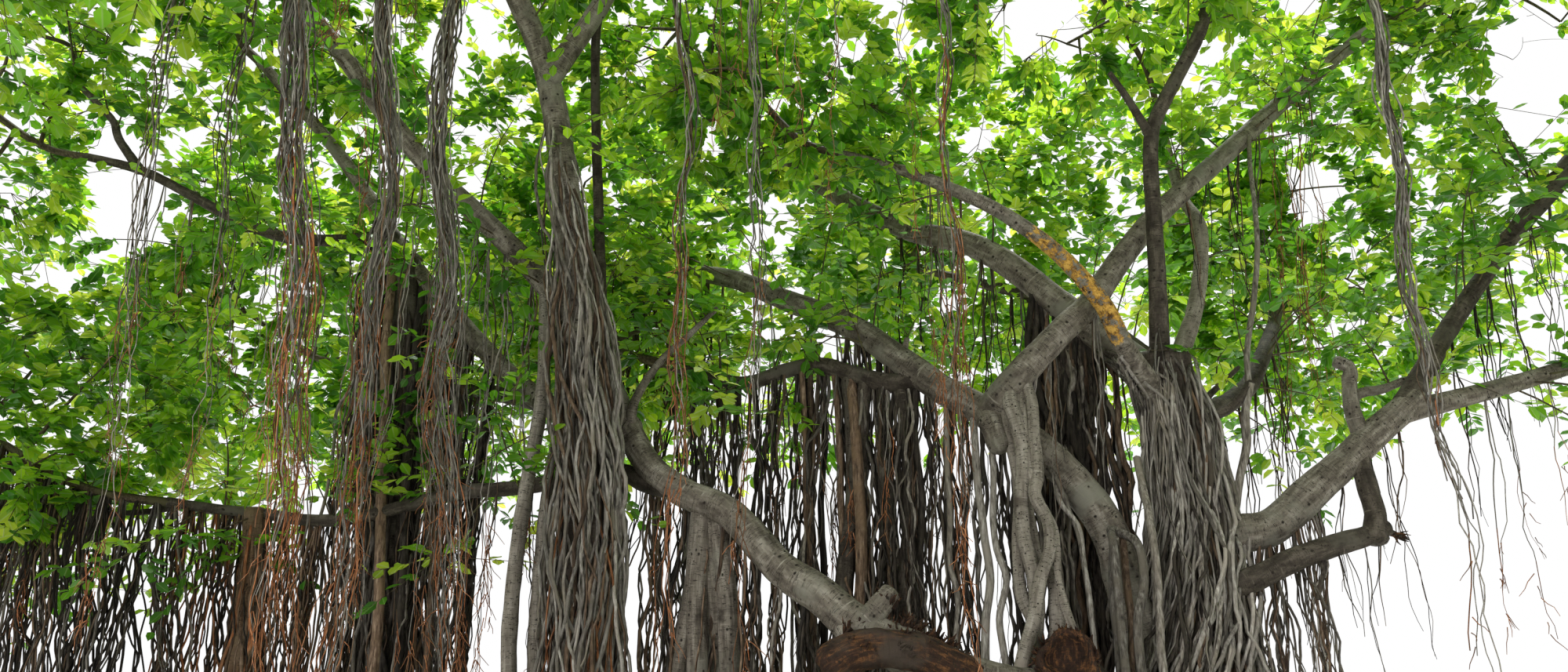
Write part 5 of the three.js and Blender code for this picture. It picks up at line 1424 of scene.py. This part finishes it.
# A twig bends a little on its way from fork to aim
def twigLine(fork, aim, count, random):
    length = np.linalg.norm(aim - fork)
    bend = fork + (aim - fork) * 0.5 + random.normal(0, 0.07, 3) * length + up * 0.06 * length
    share = np.linspace(0, 1, count)[:, None]
    return (1 - share) ** 2 * fork + 2 * share * (1 - share) * bend + share ** 2 * aim


# Leaves stand alternately round the outer part of a twig, and close together at its end
def addSpray(line, random, lookWeights, leaves, larger=1.0):
    looks = list(leafLooks)
    rows = leafRows[looks[int(random.choice(len(looks), p=lookWeights))]]
    share = np.sort(random.uniform(0.08, 1.0, leaves) ** 0.85)
    at = share * (len(line) - 1)
    places = np.column_stack([np.interp(at, np.arange(len(line)), line[:, k]) for k in range(3)])
    heading = unit(line[-1] - line[0])
    side = unit(np.cross(heading, up) + 1e-6)
    rise = np.cross(side, heading)
    turn = np.arange(leaves) * math.pi + random.normal(0, 0.7, leaves)
    spread = random.uniform(0.6, 1.1, leaves)[:, None]
    along = heading * random.uniform(0.35, 0.9, leaves)[:, None] + spread * (
        np.cos(turn)[:, None] * side + 0.55 * np.sin(turn)[:, None] * rise)
    along[:, 2] += random.uniform(-0.45, 0.25, leaves)
    along = unit(along)
    face = up + random.normal(0, 0.42, (leaves, 3))
    length = larger * random.uniform(*crown["leafLength"], leaves) * (0.85 + 0.15 * np.sin(share * 3))
    width = length * random.uniform(*crown["leafWidth"], leaves)
    rows["place"].append(places)
    rows["along"].append(along)
    rows["face"].append(unit(face))
    rows["size"].append(np.column_stack([width, length, length * random.uniform(0.3, 1.6, leaves)]))


# Painted light and shade: outer sprays get the paler greens as painted light, inner ones the deep green as
# painted shade, in drifts through the crown; in part the tints are real, old leaves deeper and young ones
# paler
def weightsAt(place, outer):
    drift = (math.sin(place[0] * 1.3 + 0.7 * place[1]) + math.sin(place[1] * 1.1 - 1.6 * place[2])
             + math.sin(place[2] * 1.9 + place[0] * 0.6)) / 3
    # sun is how much painted light a spray's greens carry
    sun = 0.5 * outer + 0.35 * drift
    weights = np.array([0.42 - 0.45 * sun, 0.34, 0.2 + 0.3 * sun, 0.08 + 0.2 * sun])
    weights = np.maximum(weights, 0.02)
    return weights / weights.sum()


def nearest(forks, aim):
    return int(np.argmin(np.linalg.norm(forks - aim, axis=1)))


def growMass(order):
    name = massNames[order]
    _, _, reach, twigs = masses[name]
    dense, larger = fullness.get(name, (1.0, 1.0))
    random = np.random.default_rng(1000 + 77 * order)
    middle = middles[order]
    stem, thick = lines[name + "_stem"]
    twigTubes.lay(stem, thick, 0.0, 0.0)
    spots = [int(round(part * (len(stem) - 1))) for part in (0.33, 0.5, 0.67, 0.83, 1.0)]
    forks, widths = [stem[spot] for spot in spots], [thick[spot] for spot in spots]
    volume = 4 / 3 * math.pi * reach[0] * reach[1] * reach[2]
    levels = [(2 * twigs, (0.4, 0.62), 9, (0.024, 0.012)),
              (int(crown["branchletsPerCubicMetre"] * volume * dense), (0.2, 0.88), 6, (0.012, 0.005))]
    for count, depths, bends, girth in levels:
        aims = aimsIn(order, count, depths, random)
        for aim in aims[withinReach(aims + up * 0.12)]:
            k = nearest(np.array(forks), aim)
            twig = twigLine(forks[k], aim, bends, random)
            start = min(girth[0], widths[k] * 0.9)
            girths = start + (min(girth[1], start * 0.7) - start) * np.linspace(0, 1, bends)
            twigTubes.lay(twig, girths, 0.0, 0.0)
            for part in (0.35, 0.7, 1.0):
                spot = int(round(part * (bends - 1)))
                forks.append(twig[spot])
                widths.append(girths[spot])
    rows = np.array(forks)
    count = int(crown["spraysPerCubicMetre"] * volume * dense)
    aims = np.vstack([aimsIn(order, count, (0.1, 1.0), random),
                      aimsBetween(order, int(count * crown["betweenShare"]), random)])
    aims = aims[clearOfLimbs(aims) & openSky(aims) & withinReach(aims)]
    depth = np.linalg.norm((aims - middle) / reaches[order], axis=1)
    for aim, outer in zip(aims, depth):
        k = nearest(rows, aim)
        gap = np.linalg.norm(aim - rows[k])
        twig = twigLine(rows[k], aim, 4 if gap > 0.75 else 2, random)
        if gap > 0.75:
            rows = np.vstack([rows, twig[2:3]])
            widths.append(0.004)
        fineTwigs.lay(twig, np.linspace(min(0.005, widths[k]), 0.002, len(twig)), 0.0, 0.0)
        addSpray(twig, random, weightsAt(aim, outer), crown["leavesInSpray"], larger)


for order in range(len(masses)):
    growMass(order)
print("crown grown:", sum(len(row) for rows in leafRows.values() for row in rows["place"]), "leaves")

# Leafy shoots along the limbs: from and to share of the limb, how many on each metre, and how far out
shoots = {
    "great_limb": (0.42, 1.0, 4.0, 1.1),
    "second_limb": (0.1, 1.0, 4.5, 1.2),
    "third_limb": (0.12, 1.0, 5.0, 1.0),
    "far_left_bough": (0.1, 1.0, 5.0, 1.1),
    "back_left_bough": (0.2, 1.0, 4.0, 1.1),
    "back_middle_bough": (0.3, 1.0, 3.0, 1.0),
    "back_right_bough": (0.3, 1.0, 4.0, 1.1),
    "left_main_limb": (0.42, 1.0, 4.5, 1.1),
    "crossing_limb": (0.36, 1.0, 4.5, 1.1),
    "rear_limb": (0.35, 1.0, 5.0, 1.1),
    "golden_limb": (0.7, 1.0, 4.0, 0.9),
    "upright_stem": (0.35, 1.0, 3.0, 0.9),
    "pale_stem": (0.4, 1.0, 3.6, 0.9),
    "right_high_bough": (0.2, 1.0, 7.0, 1.3),
    "right_low_bough": (0.3, 1.0, 7.0, 1.2),
    "front_right_bough": (0.1, 1.0, 5.0, 1.1),
    "side_limb": (0.2, 1.0, 5.0, 1.0),
    "pillar_bough": (0.4, 1.0, 2.6, 0.9),
    "pillar_fork": (0.2, 1.0, 3.0, 0.9),
    "pillar_side_branch": (0.4, 1.0, 6.0, 0.7),
    "far_left_branch": (0.2, 1.0, 5.0, 0.9),
    "third_limb_fork": (0.2, 1.0, 7.0, 0.9),
    "knobbed_branch": (0.5, 1.0, 7.0, 0.8),
    "right_fork_twig": (0.6, 1.0, 5.0, 0.6),
}
shootValues = {"nearest": 0.25, "sprays": 6, "sprayReach": 0.36}


def growShoots(name, order):
    start, end, each, farthest = shoots[name]
    random = np.random.default_rng(5000 + 31 * order)
    line, radii = lines[name]
    length = np.linalg.norm(np.diff(line, axis=0), axis=1).sum() * (end - start)
    for k in range(int(length * each)):
        spot = int((start + (end - start) * (k + random.uniform()) / (length * each)) * (len(line) - 1))
        heading = unit(line[min(spot + 2, len(line) - 1)] - line[max(spot - 2, 0)])
        out = random.normal(0, 1, 3)
        out -= heading * out.dot(heading)
        out = unit(unit(out) + up * 0.45 + heading * 0.35)
        aim = line[spot] + out * (radii[spot] + random.uniform(shootValues["nearest"], farthest))
        twig = twigLine(line[spot] + out * radii[spot] * 0.5, aim, 5, random)
        if not (clearOfLimbs(aim[None])[0] and openSky(aim[None])[0] and withinReach(aim[None])[0]):
            continue
        twigTubes.lay(twig, np.linspace(0.009, 0.004, 5), 0.0, 0.0)
        for _ in range(shootValues["sprays"]):
            tip = twig[-1] + random.normal(0, 1, 3) * shootValues["sprayReach"] * np.array([1, 1, 0.7])
            if not openSky(tip[None])[0]:
                continue
            spray = twigLine(twig[int(random.integers(2, 5))], tip, 2, random)
            fineTwigs.lay(spray, np.array([0.0035, 0.002]), 0.0, 0.0)
            addSpray(spray, random, weightsAt(tip, 0.35), crown["leavesInSpray"])


for order, name in enumerate(shoots):
    growShoots(name, order)


# One leaf, a unit long: a pointed oval, folded on its rib with its tip bent down
def makeLeafShape():
    outline = [(0, 0, 0), (-0.28, 0.34, 0.07), (-0.26, 0.7, 0.04), (0, 1.0, -0.06), (0.26, 0.7, 0.04),
               (0.28, 0.34, 0.07)]
    faces = [(0, 3, 2, 1), (0, 5, 4, 3)]
    leaf = meshOf("leaf_shape", outline, faces)
    layer = leaf.data.uv_layers.new(name="leafMap")
    for loop in leaf.data.loops:
        x, y, _ = outline[loop.vertex_index]
        layer.data[loop.index].uv = (x + 0.5, y)
    return leaf


def makeCrown():
    for name, kept, sides in (("twigs_main", twigTubes, 4), ("twigs_fine", fineTwigs, 3)):
        makeTubes(name, kept.rows, sides, {"Wander": 0.0, "Kink": 0.0, "Material": twigSkin})
    leafShape = makeLeafShape()
    for look, rows in leafRows.items():
        whole = {key: np.vstack(row) for key, row in rows.items()}
        pieces = math.ceil(len(whole["place"]) / crown["leavesInPiece"])
        for piece, kept in enumerate(np.array_split(np.arange(len(whole["place"])), pieces)):
            ending = f"_{piece + 1}" if pieces > 1 else ""
            thing = meshOf(f"leaves_{look}{ending}", whole["place"][kept], values={
                key: whole[key][kept] for key in ("along", "face", "size")})
            grow(thing, leafSprays, {"Leaf": leafShape, "Material": leafLooks[look]})
            settle(thing, list(masses))
    bpy.data.objects.remove(leafShape)


makeCrown()
print("leaves made")

for name, number in sorted(triangles.items(), key=lambda entry: -entry[1])[:24]:
    print(f"{name}: {number} triangles")
print("all pieces:", sum(triangles.values()), "triangles")

# A plain pale floor, as wide as the light needs
floor = meshOf("floor", [(-40, -40, 0), (40, -40, 0), (40, 40, 0), (-40, 40, 0)], [(0, 1, 2, 3)])
floorLook = Look("pale_floor")
floorLook.shader.inputs["Base Color"].default_value = tint("dcdcd8")
floorLook.shader.inputs["Roughness"].default_value = 0.9
floor.data.materials.append(floorLook.material)
